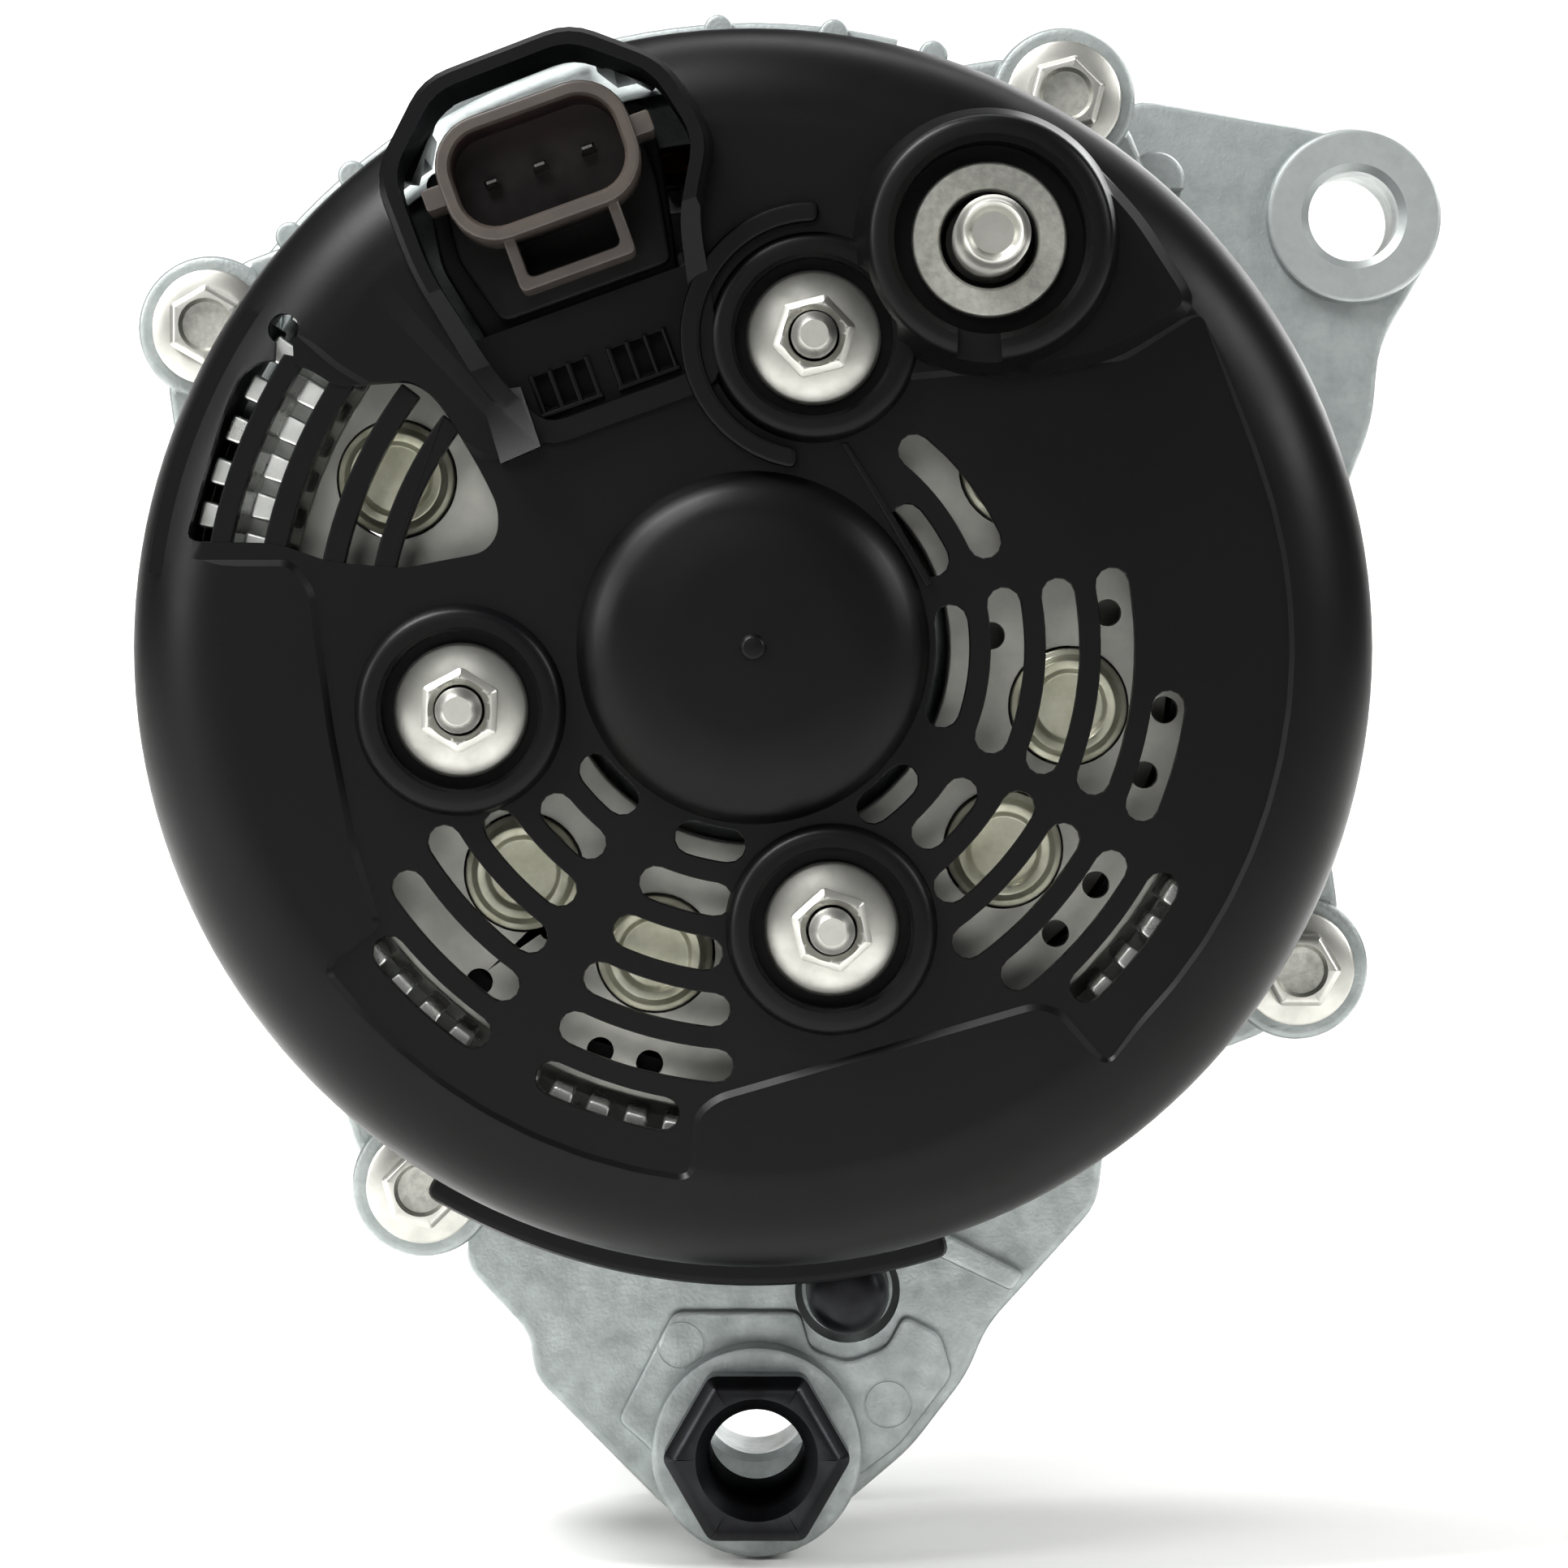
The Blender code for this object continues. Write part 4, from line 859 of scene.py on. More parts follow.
class ALTERNATOR_OT_front_frame(bpy.types.Operator):
    """Cast drive-end frame: bell, bearing nose, air windows, upper ear and pivot foot"""

    bl_idname = "alternator.front_frame"
    bl_label = "Front frame"

    def execute(self, context):
        nose = front_end("front_frame")
        joint = FRONT_JOINT
        outside = [(0.0, nose), (27.5, nose), (29.4, -44.0), (31.5, -50.0), (48.0, -53.0),
                   (64.4, -59.5), (70.2, -69.0), (70.5, -73.0), (70.5, joint), (0.0, joint)]
        frame_piece = turned(outside, 1.4)
        edge = sizes().cast_edge / MM
        build_up(frame_piece, *lugs(joint - 0.6, -66.0, 8.0))
        ear = rounded([(38.0, 59.0), (45.5, 66.8), (70.1, 62.6), (79.6, 59.8), (82.9, 48.5),
                       (80.4, 44.1), (76.0, 36.7), (75.3, 27.4), (69.5, 13.0), (65.5, 20.0),
                       (55.0, 40.0)], 3.5)
        foot = rounded([(-34.0, -55.0), (-25.0, -80.0), (-11.5, -92.5), (12.0, -92.5),
                        (25.0, -80.0), (36.0, -55.0)], 4.0)
        build_up(
            frame_piece, plate(ear, joint + 0.7, -70.0, edge),
            drum(10.6, joint - 1.2, -69.1, EAR, 0.7, 72),
            plate(foot, joint + 0.75, -70.1, edge),
            drum(12.1, joint - 1.15, -69.05, PIVOT, 0.7, 64),
        )
        for angle in (110.0, 180.0, 200.0, 350.0):
            rib = [polar(60.0, angle - 1.6), polar(70.3, angle - 1.6), polar(70.3, angle + 1.6),
                   polar(60.0, angle + 1.6)]
            build_up(frame_piece, plate(rib, -83.0, -61.0, 0.5))
        inside = [(0.0, -95.0), (67.0, -95.0), (67.0, -79.7), (64.5, -79.7), (64.5, -70.5),
                  (58.5, -61.5), (34.0, -55.5), (23.8, -55.5), (23.8, -40.7), (17.0, -40.7),
                  (17.0, -30.0), (0.0, -30.0)]
        carve(frame_piece, turned(inside, steps=sizes().round_steps - 12))
        carve(frame_piece, *windows(35.0, 58.5, -66.0, -48.0))
        carve(frame_piece, vents(-78.0, -67.5))
        carve(frame_piece, *bolt_bores(-90.0, -60.0))
        ear_bore = [(0.0, -90.0), (6.4, -90.0), (6.4, joint - 1.2), (5.45, joint - 0.3),
                    (5.45, -70.0), (6.3, -69.1), (6.3, -60.0), (0.0, -60.0)]
        foot_bore = [(r + 1.0 if r else r, y) for r, y in ear_bore]
        carve(frame_piece, turned(ear_bore, steps=60, centre=EAR),
              turned(foot_bore, steps=60, centre=PIVOT))
        screws = [drum(1.9, -57.0, -47.0, polar(27.6, angle), sides=20) for angle in (90, 210, 330)]
        carve(frame_piece, *screws)
        deliver(frame_piece, "cast_front_frame", "die_cast_aluminium", replaces=["front_frame"])
        frame_piece.data.materials.append(surface("faced_aluminium"))
        for face in frame_piece.data.polygons:
            x, y, z = face.center / MM
            from_ear = math.hypot(x - EAR[0], z - EAR[1])
            if from_ear < 10.8 and (y < joint - 0.6 or y > -69.7):
                face.material_index = 1
        return {"FINISHED"}


class ALTERNATOR_OT_rear_frame(bpy.types.Operator):
    """Cast slip-ring-end frame: bearing seat, vented wall, bolt lugs, pivot bush's bracket"""

    bl_idname = "alternator.rear_frame"
    bl_label = "Rear frame"

    def execute(self, context):
        edge = sizes().cast_edge / MM
        joint = REAR_JOINT
        outside = [(0.0, joint), (70.5, joint), (70.5, -121.0), (64.6, -127.3), (63.0, -134.0),
                   (62.0, -135.0), (21.5, -135.0), (21.5, -139.0), (0.0, -139.0)]
        piece = turned(outside, 0.9)
        build_up(piece, *lugs(-128.0, joint + 0.6, 8.2))
        build_up(piece, *[drum(5.6, -137.2, -133.0, centre, 0.3, 40) for centre in STUDS])
        bracket = rounded([(-44.0, -52.5), (-32.5, -66.6), (-33.0, -70.8), (-25.5, -78.7),
                           (-25.2, -83.4), (-9.0, -99.6), (9.5, -99.0), (18.0, -91.8),
                           (24.5, -83.4), (26.8, -77.8), (39.5, -63.8), (40.5, -54.5)], 2.4)
        land = rounded([(-9.1, -75.8), (5.4, -75.8), (6.6, -80.2), (10.8, -81.6), (15.2, -80.0),
                        (17.2, -76.2), (21.5, -78.4), (22.9, -83.2), (16.8, -91.2), (8.6, -97.4),
                        (-7.9, -97.8), (-11.9, -91.6), (-15.6, -88.4)], 1.2)
        build_up(
            piece, plate(bracket, -122.0, joint - 0.6, edge), plate(land, -123.3, -119.0, 0.6),
            drum(12.0, -128.0, joint + 1.2, PIVOT, 0.8, 64),
        )
        band = rounded(sector(68.6, CROWN, 66.0, 144.0, 30), 0.8)
        build_up(piece, plate(band, -120.4, joint - 0.6, edge))
        for angle in RIB_ANGLES:
            build_up(piece, drum(1.7, -121.3, joint - 0.9, polar(CROWN - 0.8, angle), 0.6, 24))
        build_up(piece, drum(3.4, -125.2, joint - 0.8, (45.9, 53.2), 0.8, 32))
        web = rounded([(20.5, -66.0), (31.0, -71.4), (29.6, -73.6), (19.5, -68.8)], 0.8)
        build_up(piece, plate(web, -124.0, -119.0, 0.5))
        inside = [(0.0, -95.0), (67.0, -95.0), (67.0, -112.3), (64.5, -112.3), (64.5, -122.0),
                  (61.5, -127.5), (59.0, -131.0), (21.5, -131.0), (21.5, -124.5), (17.8, -124.5),
                  (17.8, -137.3), (13.0, -137.3), (13.0, -150.0), (0.0, -150.0)]
        carve(piece, turned(inside, steps=sizes().round_steps - 12))
        carve(piece, *windows(25.0, 57.0, -140.0, -126.0))
        carve(piece, vents(-120.5, -113.5))
        carve(piece, *bolt_bores(-140.0, -100.0))
        carve(piece, *[drum(2.8, -140.0, -126.0, centre, sides=28) for centre in STUDS])
        carve(piece, drum(8.5, -140.0, -100.0, PIVOT, sides=56))
        carve(piece, turned([(0.0, -130.0), (6.2, -130.0), (6.0, -121.0), (5.2, -120.3),
                             (0.0, -120.3)], steps=40, centre=(10.8, -73.6)))
        for centre in ((-8.2, -79.6), (15.4, -86.4)):
            mark = [(2.5, -124.0), (2.8, -124.0), (2.8, -123.12), (2.5, -123.12)]
            carve(piece, turned(mark, steps=36, centre=centre))
        carve(piece, plate(box_outline(47.6, 50.4, 49.6, 52.4), -130.0, -119.5))
        deliver(piece, "cast_rear_frame", "die_cast_aluminium", replaces=["rear_frame"])
        post = [(0.0, -129.0), (2.2, -128.9), (3.9, -128.2), (4.7, -126.4), (4.8, -119.0),
                (0.0, -119.0)]
        deliver(turned(post, 0.8, 44, (10.8, -73.5)), "locating_post", "black_oxide")
        return {"FINISHED"}


# ---- fasteners -----------------------------------------------------------------------------
class ALTERNATOR_OT_through_bolts(bpy.types.Operator):
    """Four long flanged bolts that clamp the frames on the core"""

    bl_idname = "alternator.through_bolts"
    bl_label = "Through bolts"

    def execute(self, context):
        for number, centre in enumerate(BOLTS, 1):
            node = BOLT_NODES[number - 1]
            front, rear = front_end(node), rear_end(node)
            shank = [(0.0, rear + 3.0), (3.0, rear + 3.0), (3.0, front - 12.0)]
            shank += threads(2.95, front - 11.0, front - 0.8, 1.0, 0.4)
            shank += [(2.0, front), (0.0, front)]
            bolt = turned(shank, steps=36, centre=centre)
            flange = [(0.0, BOLT_SEAT - 1.6), (4.6, BOLT_SEAT - 1.6), (6.2, BOLT_SEAT - 1.2),
                      (6.5, BOLT_SEAT - 0.9), (6.5, BOLT_SEAT), (0.0, BOLT_SEAT)]
            hexagon = rounded(circle(4.6, 6, centre, 15.0 * number), 0.35, 3)
            build_up(
                bolt, turned(flange, steps=48, centre=centre),
                loft([at_depth(hexagon, BOLT_SEAT - 0.7), at_depth(hexagon, rear + 0.6),
                      at_depth(grown(hexagon, -0.4), rear + 0.1),
                      at_depth(grown(hexagon, -0.65), rear),
                      at_depth(about(hexagon, centre, 0.2), rear)]),
            )
            dimple = [(0.0, rear - 2.0), (3.1, rear - 2.0), (3.0, rear), (2.6, rear + 0.9),
                      (0.0, rear + 1.1)]
            carve(bolt, turned(dimple, steps=40, centre=centre))
            deliver(bolt, f"flange_bolt_{number}", "zinc_plate", replaces=[node])
            bolt.data.materials.append(surface("tumbled_zinc_and_dimple_shade"))
            # The faces inside the dimple take the darker zinc: painted shade in the recess.
            for face in bolt.data.polygons:
                x, y, z = face.center / MM
                if math.hypot(x - centre[0], z - centre[1]) < 3.0 and rear + 0.05 < y < rear + 1.4:
                    face.material_index = 1
        return {"FINISHED"}


class ALTERNATOR_OT_pivot_bush(bpy.types.Operator):
    """Sliding bush in the pivot lug, with its hexagon and thread"""

    bl_idname = "alternator.pivot_bush"
    bl_label = "Pivot bush"

    def execute(self, context):
        rear, front = rear_end("pivot_bush"), front_end("pivot_bush")
        hexagon = rounded(circle(10.7, 6, PIVOT, 0.0), 0.9, 4)
        bush = loft([
            at_depth(about(hexagon, PIVOT, 0.3), BOLT_SEAT),
            at_depth(grown(hexagon, -0.5), BOLT_SEAT), at_depth(hexagon, BOLT_SEAT - 0.5),
            at_depth(hexagon, rear + 1.5), at_depth(grown(hexagon, -0.9), rear + 0.4),
            at_depth(grown(hexagon, -1.6), rear), at_depth(about(hexagon, PIVOT, 0.3), rear),
        ])
        barrel = [(0.0, front), (8.2, front), (8.2, -129.0), (0.0, -129.0)]
        build_up(bush, turned(barrel, 0.5, 72, PIVOT))
        bore = [(0.0, -150.0), (6.9, -150.0), (6.9, rear), (5.8, rear + 1.2)]
        bore += threads(5.95, rear + 1.8, front - 1.0, 1.5, 0.45)
        bore += [(6.6, front), (6.6, -100.0), (0.0, -100.0)]
        carve(bush, turned(bore, steps=64, centre=PIVOT))
        deliver(bush, "hex_bush", "black_oxide", replaces=["pivot_bush"])
        return {"FINISHED"}


class ALTERNATOR_OT_output_terminal(bpy.types.Operator):
    """Output stud with its collar, and the loose washer round it"""

    bl_idname = "alternator.output_terminal"
    bl_label = "Output stud and washer"

    def execute(self, context):
        tip, foot = rear_end("b_plus_stud"), front_end("b_plus_stud")
        stud = [(0.0, tip + 1.4), (2.2, tip + 1.4), (2.7, tip + 0.3), (3.1, tip), (3.4, tip + 0.3)]
        stud += threads(3.98, tip + 0.9, -166.0, 1.25, 0.45)
        stud += [(4.0, -165.4), (4.5, -165.0), (4.5, -156.4), (7.0, -155.6), (7.0, -152.3),
                 (3.6, -152.2), (3.6, foot), (0.0, foot)]
        deliver(turned(stud, steps=72, centre=OUTPUT), "output_stud", "zinc_plate",
                replaces=["b_plus_stud"])
        low, high = rear_end("b_plus_washer"), front_end("b_plus_washer")
        washer = [(5.2, low), (8.3, low), (8.3, high), (5.2, high)]
        deliver(turned(washer, 0.4, 96, OUTPUT), "plain_washer", "tumbled_zinc_and_dimple_shade",
                replaces=["b_plus_washer"])
        return {"FINISHED"}


# ---- the regulator and its connector -------------------------------------------------------
CONNECTOR = (-3.8, 56.0)


def rounded_box(width, height, corner, centre=CONNECTOR):
    points = []
    for sx, sy, start in ((1, 1, 0), (-1, 1, 90), (-1, -1, 180), (1, -1, 270)):
        at = (centre[0] + sx * (width / 2 - corner), centre[1] + sy * (height / 2 - corner))
        points += arc(corner, start, start + 90, 8, at)
    return points


class ALTERNATOR_OT_regulator(bpy.types.Operator):
    """Voltage regulator body, connector socket with its latch bridge, and three pins"""

    bl_idname = "alternator.regulator"
    bl_label = "Regulator and connector"

    def execute(self, context):
        case = rounded([(-12.0, 31.2), (4.0, 31.2), (7.4, 46.0), (9.0, 54.0), (9.0, 60.0),
                        (-16.0, 60.0), (-17.6, 50.0), (-15.0, 38.0)], 1.5)
        step = rounded([(-13.4, 42.0), (6.0, 42.0), (7.6, 51.0), (7.6, 58.5), (-14.6, 58.5),
                        (-15.6, 50.0)], 1.2)
        body = plate(tilted(case), -158.5, -143.0, 0.5)
        build_up(body, plate(tilted(step), -161.5, -158.0, 0.5))
        deliver(body, "regulator_case", "sheltered_nylon", replaces=["regulator"])
        mouth = rear_end("connector_socket")
        outer, inner = tilted(rounded_box(21.4, 13.6, 5.4)), tilted(rounded_box(18.2, 10.4, 3.9))
        socket = stepped(outer, (-161.8, 0), (mouth + 0.5, 0), (mouth + 0.15, -0.15),
                         (mouth, -0.45))
        for side in (-11.4, 11.4):
            nub = box_outline(CONNECTOR[0] + side - 1.4, CONNECTOR[0] + side + 1.4, 54.9, 57.3)
            build_up(socket, plate(tilted(rounded(nub, 0.4)), -172.2, -162.6, 0.25))
        latch = rounded([(-10.2, 50.6), (-10.2, 43.6), (2.8, 43.6), (2.8, 50.6), (1.5, 50.6),
                         (1.5, 44.9), (-8.9, 44.9), (-8.9, 50.6)], 0.9)
        build_up(socket, plate(tilted(latch), -170.4, -162.0, 0.3))
        carve(socket, stepped(inner, (mouth - 2.0, 0.35), (mouth - 0.01, 0.35), (mouth + 0.5, 0),
                              (-163.3, 0)))
        deliver(socket, "connector_shroud", "socket_plastic", replaces=["connector_socket"])
        socket.data.materials.append(surface("seal_plastic"))
        within = [Vector(corner) for corner in grown(inner, 0.12)]
        for face in socket.data.polygons:
            x, y, z = face.center / MM
            if inside_outline((x, z), within) and y > mouth + 0.45:
                face.material_index = 1
        for number, (x, z) in enumerate(PINS, 1):
            node = PIN_NODES[number - 1]
            low, high = rear_end(node), front_end(node)
            t = CONNECTOR[0] + (-5.4, 0.0, 5.4)[number - 1]
            blade = tilted(box_outline(t - 0.8, t + 0.8, CONNECTOR[1] - 0.4, CONNECTOR[1] + 0.4))
            pin = stepped(blade, (high, 0), (low + 0.9, 0), (low, -0.25))
            # The blades take tin whose colour is darkened as painted shade for the socket round
            # them.
            deliver(pin, f"contact_{number}", "tin_with_painted_shade", replaces=[node])
        return {"FINISHED"}


# ---- the rectifier -------------------------------------------------------------------------
PLATE_ARC = (-222.0, 60.0)
FIN_PITCH = 4.6                # degrees between the cooling fins
SMALL_HOLES = ((26.0, 1.3), (38.7, 3.8), (44.9, -6.8), (42.7, -13.9), (37.4, -25.9),
               (33.0, -31.2), (-29.9, -36.5), (-16.7, -44.0), (-11.3, -45.4), (-22.0, -30.5))


class ALTERNATOR_OT_rectifier(bpy.types.Operator):
    """The two heat sinks, with their cooling fins, and the six diodes pressed into the outer one"""

    bl_idname = "alternator.rectifier"
    bl_label = "Rectifier"

    def execute(self, context):
        start, end = PLATE_ARC
        edge = sizes().plate_edge / MM
        negative = plate(rounded(sector(24.0, 58.5, start, end, 60), 1.5), -140.0, -137.5, edge)
        holes = [drum(6.6, -145.0, -130.0, centre, sides=40) for centre in DIODES]
        holes += [drum(3.0, -145.0, -130.0, centre, sides=28) for centre in STUDS[1:]]
        carve(negative, *holes)
        deliver(negative, "negative_plate", "lacquered_aluminium",
                replaces=["negative_heat_sink"])
        rail = plate(sector(53.0, 60.6, start + 1.5, 40.0, 60), -141.4, -139.5)
        count = int((41.0 - start - 3.0) / FIN_PITCH)
        for inner, outer, rear, offset in ((51.9, 56.3, -157.6, 3.0), (57.4, 61.6, -156.8, 5.3)):
            fin = rounded([(inner, -1.2), (outer, -1.5), (outer, 1.5), (inner, 1.2)], 0.5, 3)
            fin = plate(fin, rear, -139.7, 0.35)
            fins = [
                copied(fin, Matrix.Rotation(-math.radians(start + offset + FIN_PITCH * i), 4, "Y"))
                for i in range(count)
            ]
            bpy.data.objects.remove(fin)
            build_up(rail, together(fins))
        # The fins and their rail take the near-white metal: painted light in the shade behind the
        # cover.
        deliver(rail, "cooling_fins", "fins_with_painted_light")
        positive = plate(rounded(sector(21.4, 50.8, start, end, 60), 2.0), -152.0, -149.0, edge)
        tab = plate(rounded(tilted(box_outline(30.0, 46.0, 18.0, 40.0)), 1.5), -151.8, -149.2, 0.3)
        build_up(positive, tab)
        holes = [drum(6.6, -160.0, -140.0, centre, sides=40) for centre in DIODES]
        holes += [drum(3.0, -160.0, -140.0, centre, sides=28) for centre in STUDS[1:]]
        holes += [drum(1.5, -160.0, -140.0, centre, sides=20) for centre in SMALL_HOLES]
        holes.append(drum(4.0, -160.0, -140.0, OUTPUT, sides=32))
        carve(positive, *holes)
        deliver(positive, "positive_plate", "lacquered_aluminium",
                replaces=["positive_heat_sink"])
        can = [(0.0, -153.9), (3.6, -153.9), (4.1, -154.5), (5.0, -154.6), (5.3, -154.0),
               (5.6, -153.4), (6.3, -153.2), (6.3, -148.0), (0.0, -148.0)]
        for number, centre in enumerate(DIODES, 1):
            deliver(turned(can, 0.15, 56, centre), f"diode_can_{number}", "olive_plate",
                    replaces=[DIODE_NODES[number - 1]])
        return {"FINISHED"}


# ---- the winding, the rotor's ends and the springs ------------------------------------------
def hairpin(core_face, peak, inner, outer):
    """One bend of the winding: up from a slot, over the crown and down into the next."""
    rise = peak - core_face
    between = (inner + outer) / 2
    path = [(-15.0, -0.08, inner), (-15.0, 0.18, inner), (-13.6, 0.32, inner),
            (-2.6, 0.84, inner + 0.2), (-1.0, 0.97, between - 0.6), (1.0, 0.97, between + 0.6),
            (2.6, 0.84, outer - 0.2), (13.6, 0.32, outer), (15.0, 0.18, outer),
            (15.0, -0.08, outer)]
    spots = []
    for degrees, share, radius in path:
        x, z = polar(radius, degrees)
        spots.append(Vector((x, core_face + rise * share, z)))
    rings = []
    for i, spot in enumerate(spots):
        run = (spots[min(i + 1, len(spots) - 1)] - spots[max(i - 1, 0)]).normalized()
        out = Vector((spot.x, 0.0, spot.z)).normalized()
        side = run.cross(out).normalized() * 0.9
        out = side.cross(run).normalized() * 0.75
        rings.append([tuple(spot + side + out), tuple(spot - side + out),
                      tuple(spot - side - out), tuple(spot + side - out)])
    return loft(rings)


class ALTERNATOR_OT_winding(bpy.types.Operator):
    """Hairpin winding: 72 bends at each end and the bars through the core's slots"""

    bl_idname = "alternator.winding"
    bl_label = "Stator winding"

    def execute(self, context):
        low, high = rear_end("stator_winding"), front_end("stator_winding")
        crowns = []
        for core_face, peak in ((-80.0, high - 0.6), (-112.0, low + 0.6)):
            for inner, outer in ((54.4, 56.6), (58.9, 61.1)):
                crowns.append(turned_copies(hairpin(core_face, peak, inner, outer), 36, 5.0))
        bar = plate(box_outline(54.3, 60.3, -1.25, 1.25), -112.4, -79.6, 0.2)
        crowns.append(turned_copies(bar, 36, 0.0))
        deliver(together(crowns), "hairpin_winding", "enamelled_copper",
                replaces=["stator_winding"])
        return {"FINISHED"}


class ALTERNATOR_OT_pulley(bpy.types.Operator):
    """Seven-groove belt pulley, its nut and the spacer collar behind it"""

    bl_idname = "alternator.pulley"
    bl_label = "Pulley, nut and collar"

    def execute(self, context):
        front, rear = front_end("pulley"), rear_end("pulley")
        crest, root, pitch = 27.6, 24.9, 3.56
        profile = [(13.0, -19.0), (14.0, -19.0), (19.8, -21.0), (20.8, -32.4), (21.2, rear),
                   (28.6, rear), (28.6, rear + 2.2)]
        first = (front + rear) / 2 - pitch * 3.5
        for groove in range(7):
            low = first + pitch * groove
            profile += [(crest, low + 0.25), (root, low + pitch / 2 - 0.35),
                        (root, low + pitch / 2 + 0.35), (crest, low + pitch - 0.25)]
        profile += [(28.6, front - 2.2), (28.6, front), (19.5, front), (17.5, -13.0), (8.4, -13.0),
                    (8.4, rear), (13.0, rear)]
        deliver(turned(profile, 0.35), "belt_pulley", "dipped_paint", "rotor",
                replaces=["pulley"])
        face = front_end("pulley_nut")
        flange = [(8.2, -12.7), (14.6, -12.7), (14.6, -11.4), (13.0, -10.2), (8.2, -10.2)]
        nut = turned(flange, 0.3, 72)
        hexagon = rounded(circle(13.6, 6), 0.8, 4)
        build_up(nut, loft([
            at_depth(hexagon, -11.6), at_depth(hexagon, face - 1.2),
            at_depth(grown(hexagon, -0.8), face - 0.2), at_depth(grown(hexagon, -1.3), face),
            at_depth(about(hexagon, (0.0, 0.0), 0.3), face),
        ]))
        bore = [(0.0, -30.0), (7.7, -30.0), (7.7, face - 1.2), (8.9, face), (8.9, 20.0),
                (0.0, 20.0)]
        carve(nut, turned(bore, steps=64))
        deliver(nut, "shaft_nut", "black_oxide", "rotor", replaces=["pulley_nut"])
        low, high = rear_end("shaft_collar"), front_end("shaft_collar")
        collar = [(8.9, low), (13.2, low), (13.2, high), (8.9, high)]
        deliver(turned(collar, 0.4, 72), "spacer_collar", "ground_steel", "rotor",
                replaces=["shaft_collar"])
        return {"FINISHED"}


class ALTERNATOR_OT_shaft(bpy.types.Operator):
    """Rotor shaft with its threaded nose, hexagon socket and bearing seats"""

    bl_idname = "alternator.shaft"
    bl_label = "Rotor shaft"

    def execute(self, context):
        low, high = rear_end("rotor_shaft"), front_end("rotor_shaft")
        shaft = turned([(0.0, high), (6.3, high), (7.1, high - 0.9)]
                       + threads(7.15, high - 1.2, -13.0, 1.5, 0.55)
                       + [(7.1, -13.3), (8.0, -13.6), (8.0, -33.6), (8.4, -34.0), (8.4, -57.0),
                          (10.3, -57.6), (10.5, -58.0), (10.5, -120.0), (7.4, -120.4),
                          (7.4, -139.0), (5.9, -139.4), (5.9, low + 0.5), (5.4, low), (0.0, low)],
                       steps=72)
        socket = plate(circle(4.6, 6, turn=30.0), high - 9.0, high + 3.0)
        carve(shaft, socket)
        cone = [(0.0, high - 0.8), (4.3, high - 0.8), (5.4, high + 0.4), (0.0, high + 0.4)]
        carve(shaft, turned(cone, steps=60))
        deliver(shaft, "turned_shaft", "ground_steel", "rotor", replaces=["rotor_shaft"])
        return {"FINISHED"}


class ALTERNATOR_OT_fans(bpy.types.Operator):
    """The two pressed cooling fans on the claw poles"""

    bl_idname = "alternator.fans"
    bl_label = "Cooling fans"

    def execute(self, context):
        for node, blades, sign in (("front_fan", 11, 1.0), ("rear_fan", 9, -1.0)):
            tip = front_end(node) if sign > 0 else rear_end(node)
            root = rear_end(node) if sign > 0 else front_end(node)
            low, high = sorted((root, root + sign * 1.2))
            disc = turned([(11.4, low), (33.0, low), (33.0, high), (11.4, high)], 0.3)
            spine, back = (
                [polar(26.0 + 20.6 * i / 10, start + sweep * (i / 10) ** 1.4) for i in range(11)]
                for start, sweep in ((2.0, 17.0), (4.2, 16.0))
            )
            blade = plate(spine + back[::-1], *sorted((root + sign * 0.3, tip)), 0.25)
            tread = rounded([polar(31.0, -6.0), polar(40.0, -4.0), polar(46.6, 14.0),
                             polar(46.8, 21.5), polar(31.0, 16.0)], 1.5)
            build_up(disc, turned_copies(plate(tread, low + 0.05, high - 0.05, 0.2), blades))
            build_up(disc, turned_copies(blade, blades))
            deliver(disc, f"pressed_{node}", "pressed_steel", "rotor", replaces=[node])
        return {"FINISHED"}


class ALTERNATOR_OT_brush_springs(bpy.types.Operator):
    """Compression springs that press the brushes on the slip rings"""

    bl_idname = "alternator.brush_springs"
    bl_label = "Brush springs"

    def execute(self, context):
        lean = (-math.sin(REGULATOR_TILT), 0.0, math.cos(REGULATOR_TILT))
        along, deep = Vector(lean), Vector((0.0, 1.0, 0.0))
        across = Vector((lean[2], 0.0, -lean[0]))
        low, high, coil, wire, turns, per_turn = 18.4, 28.2, 1.7, 0.28, 5.5, 18
        for number in (1, 2):
            node = f"brush_spring_{number}"
            y = (rear_end(node) + front_end(node)) / 2
            count = int(turns * per_turn)
            rings = []
            for i in range(count + 1):
                angle = math.tau * i / per_turn
                share = i / count
                rise = low + wire + (high - low - 2 * wire) * (3 * share ** 2 - 2 * share ** 3)
                out = across * math.cos(angle) + deep * math.sin(angle)
                spot = out * coil + along * rise + deep * y
                rings.append([
                    tuple(spot + out * (wire * math.cos(math.tau * k / 6))
                          + along * (wire * math.sin(math.tau * k / 6))) for k in range(6)
                ])
            spring = loft(rings)
            deliver(spring, f"coil_spring_{number}", "ground_steel", replaces=[node],
                    angle=70.0)
            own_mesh(spring)
        return {"FINISHED"}


# ---- CAD nodes that keep their shape -------------------------------------------------------
KEPT_NODES = {
    "laminated_steel": ["stator_core"],
    "forged_steel": ["front_pole", "rear_pole"],
    "enamelled_copper": ["field_coil"],
    "rubbed_copper": ["slip_ring_1", "slip_ring_2"],
    "ground_steel": [
        "front_bearing_inner_ring", "front_bearing_outer_ring", "front_bearing_ball_cage",
        "rear_bearing_inner_ring", "rear_bearing_outer_ring", "rear_bearing_ball_cage",
    ],
    "pressed_steel": ["bearing_retainer"],
    "zinc_plate": ["retainer_screw_1", "retainer_screw_2", "retainer_screw_3"],
    "lacquered_aluminium": ["negative_diodes"],
    "sheltered_nylon": ["terminal_block", "brush_holder"],
    "pressed_carbon": ["brush_1", "brush_2"],
}


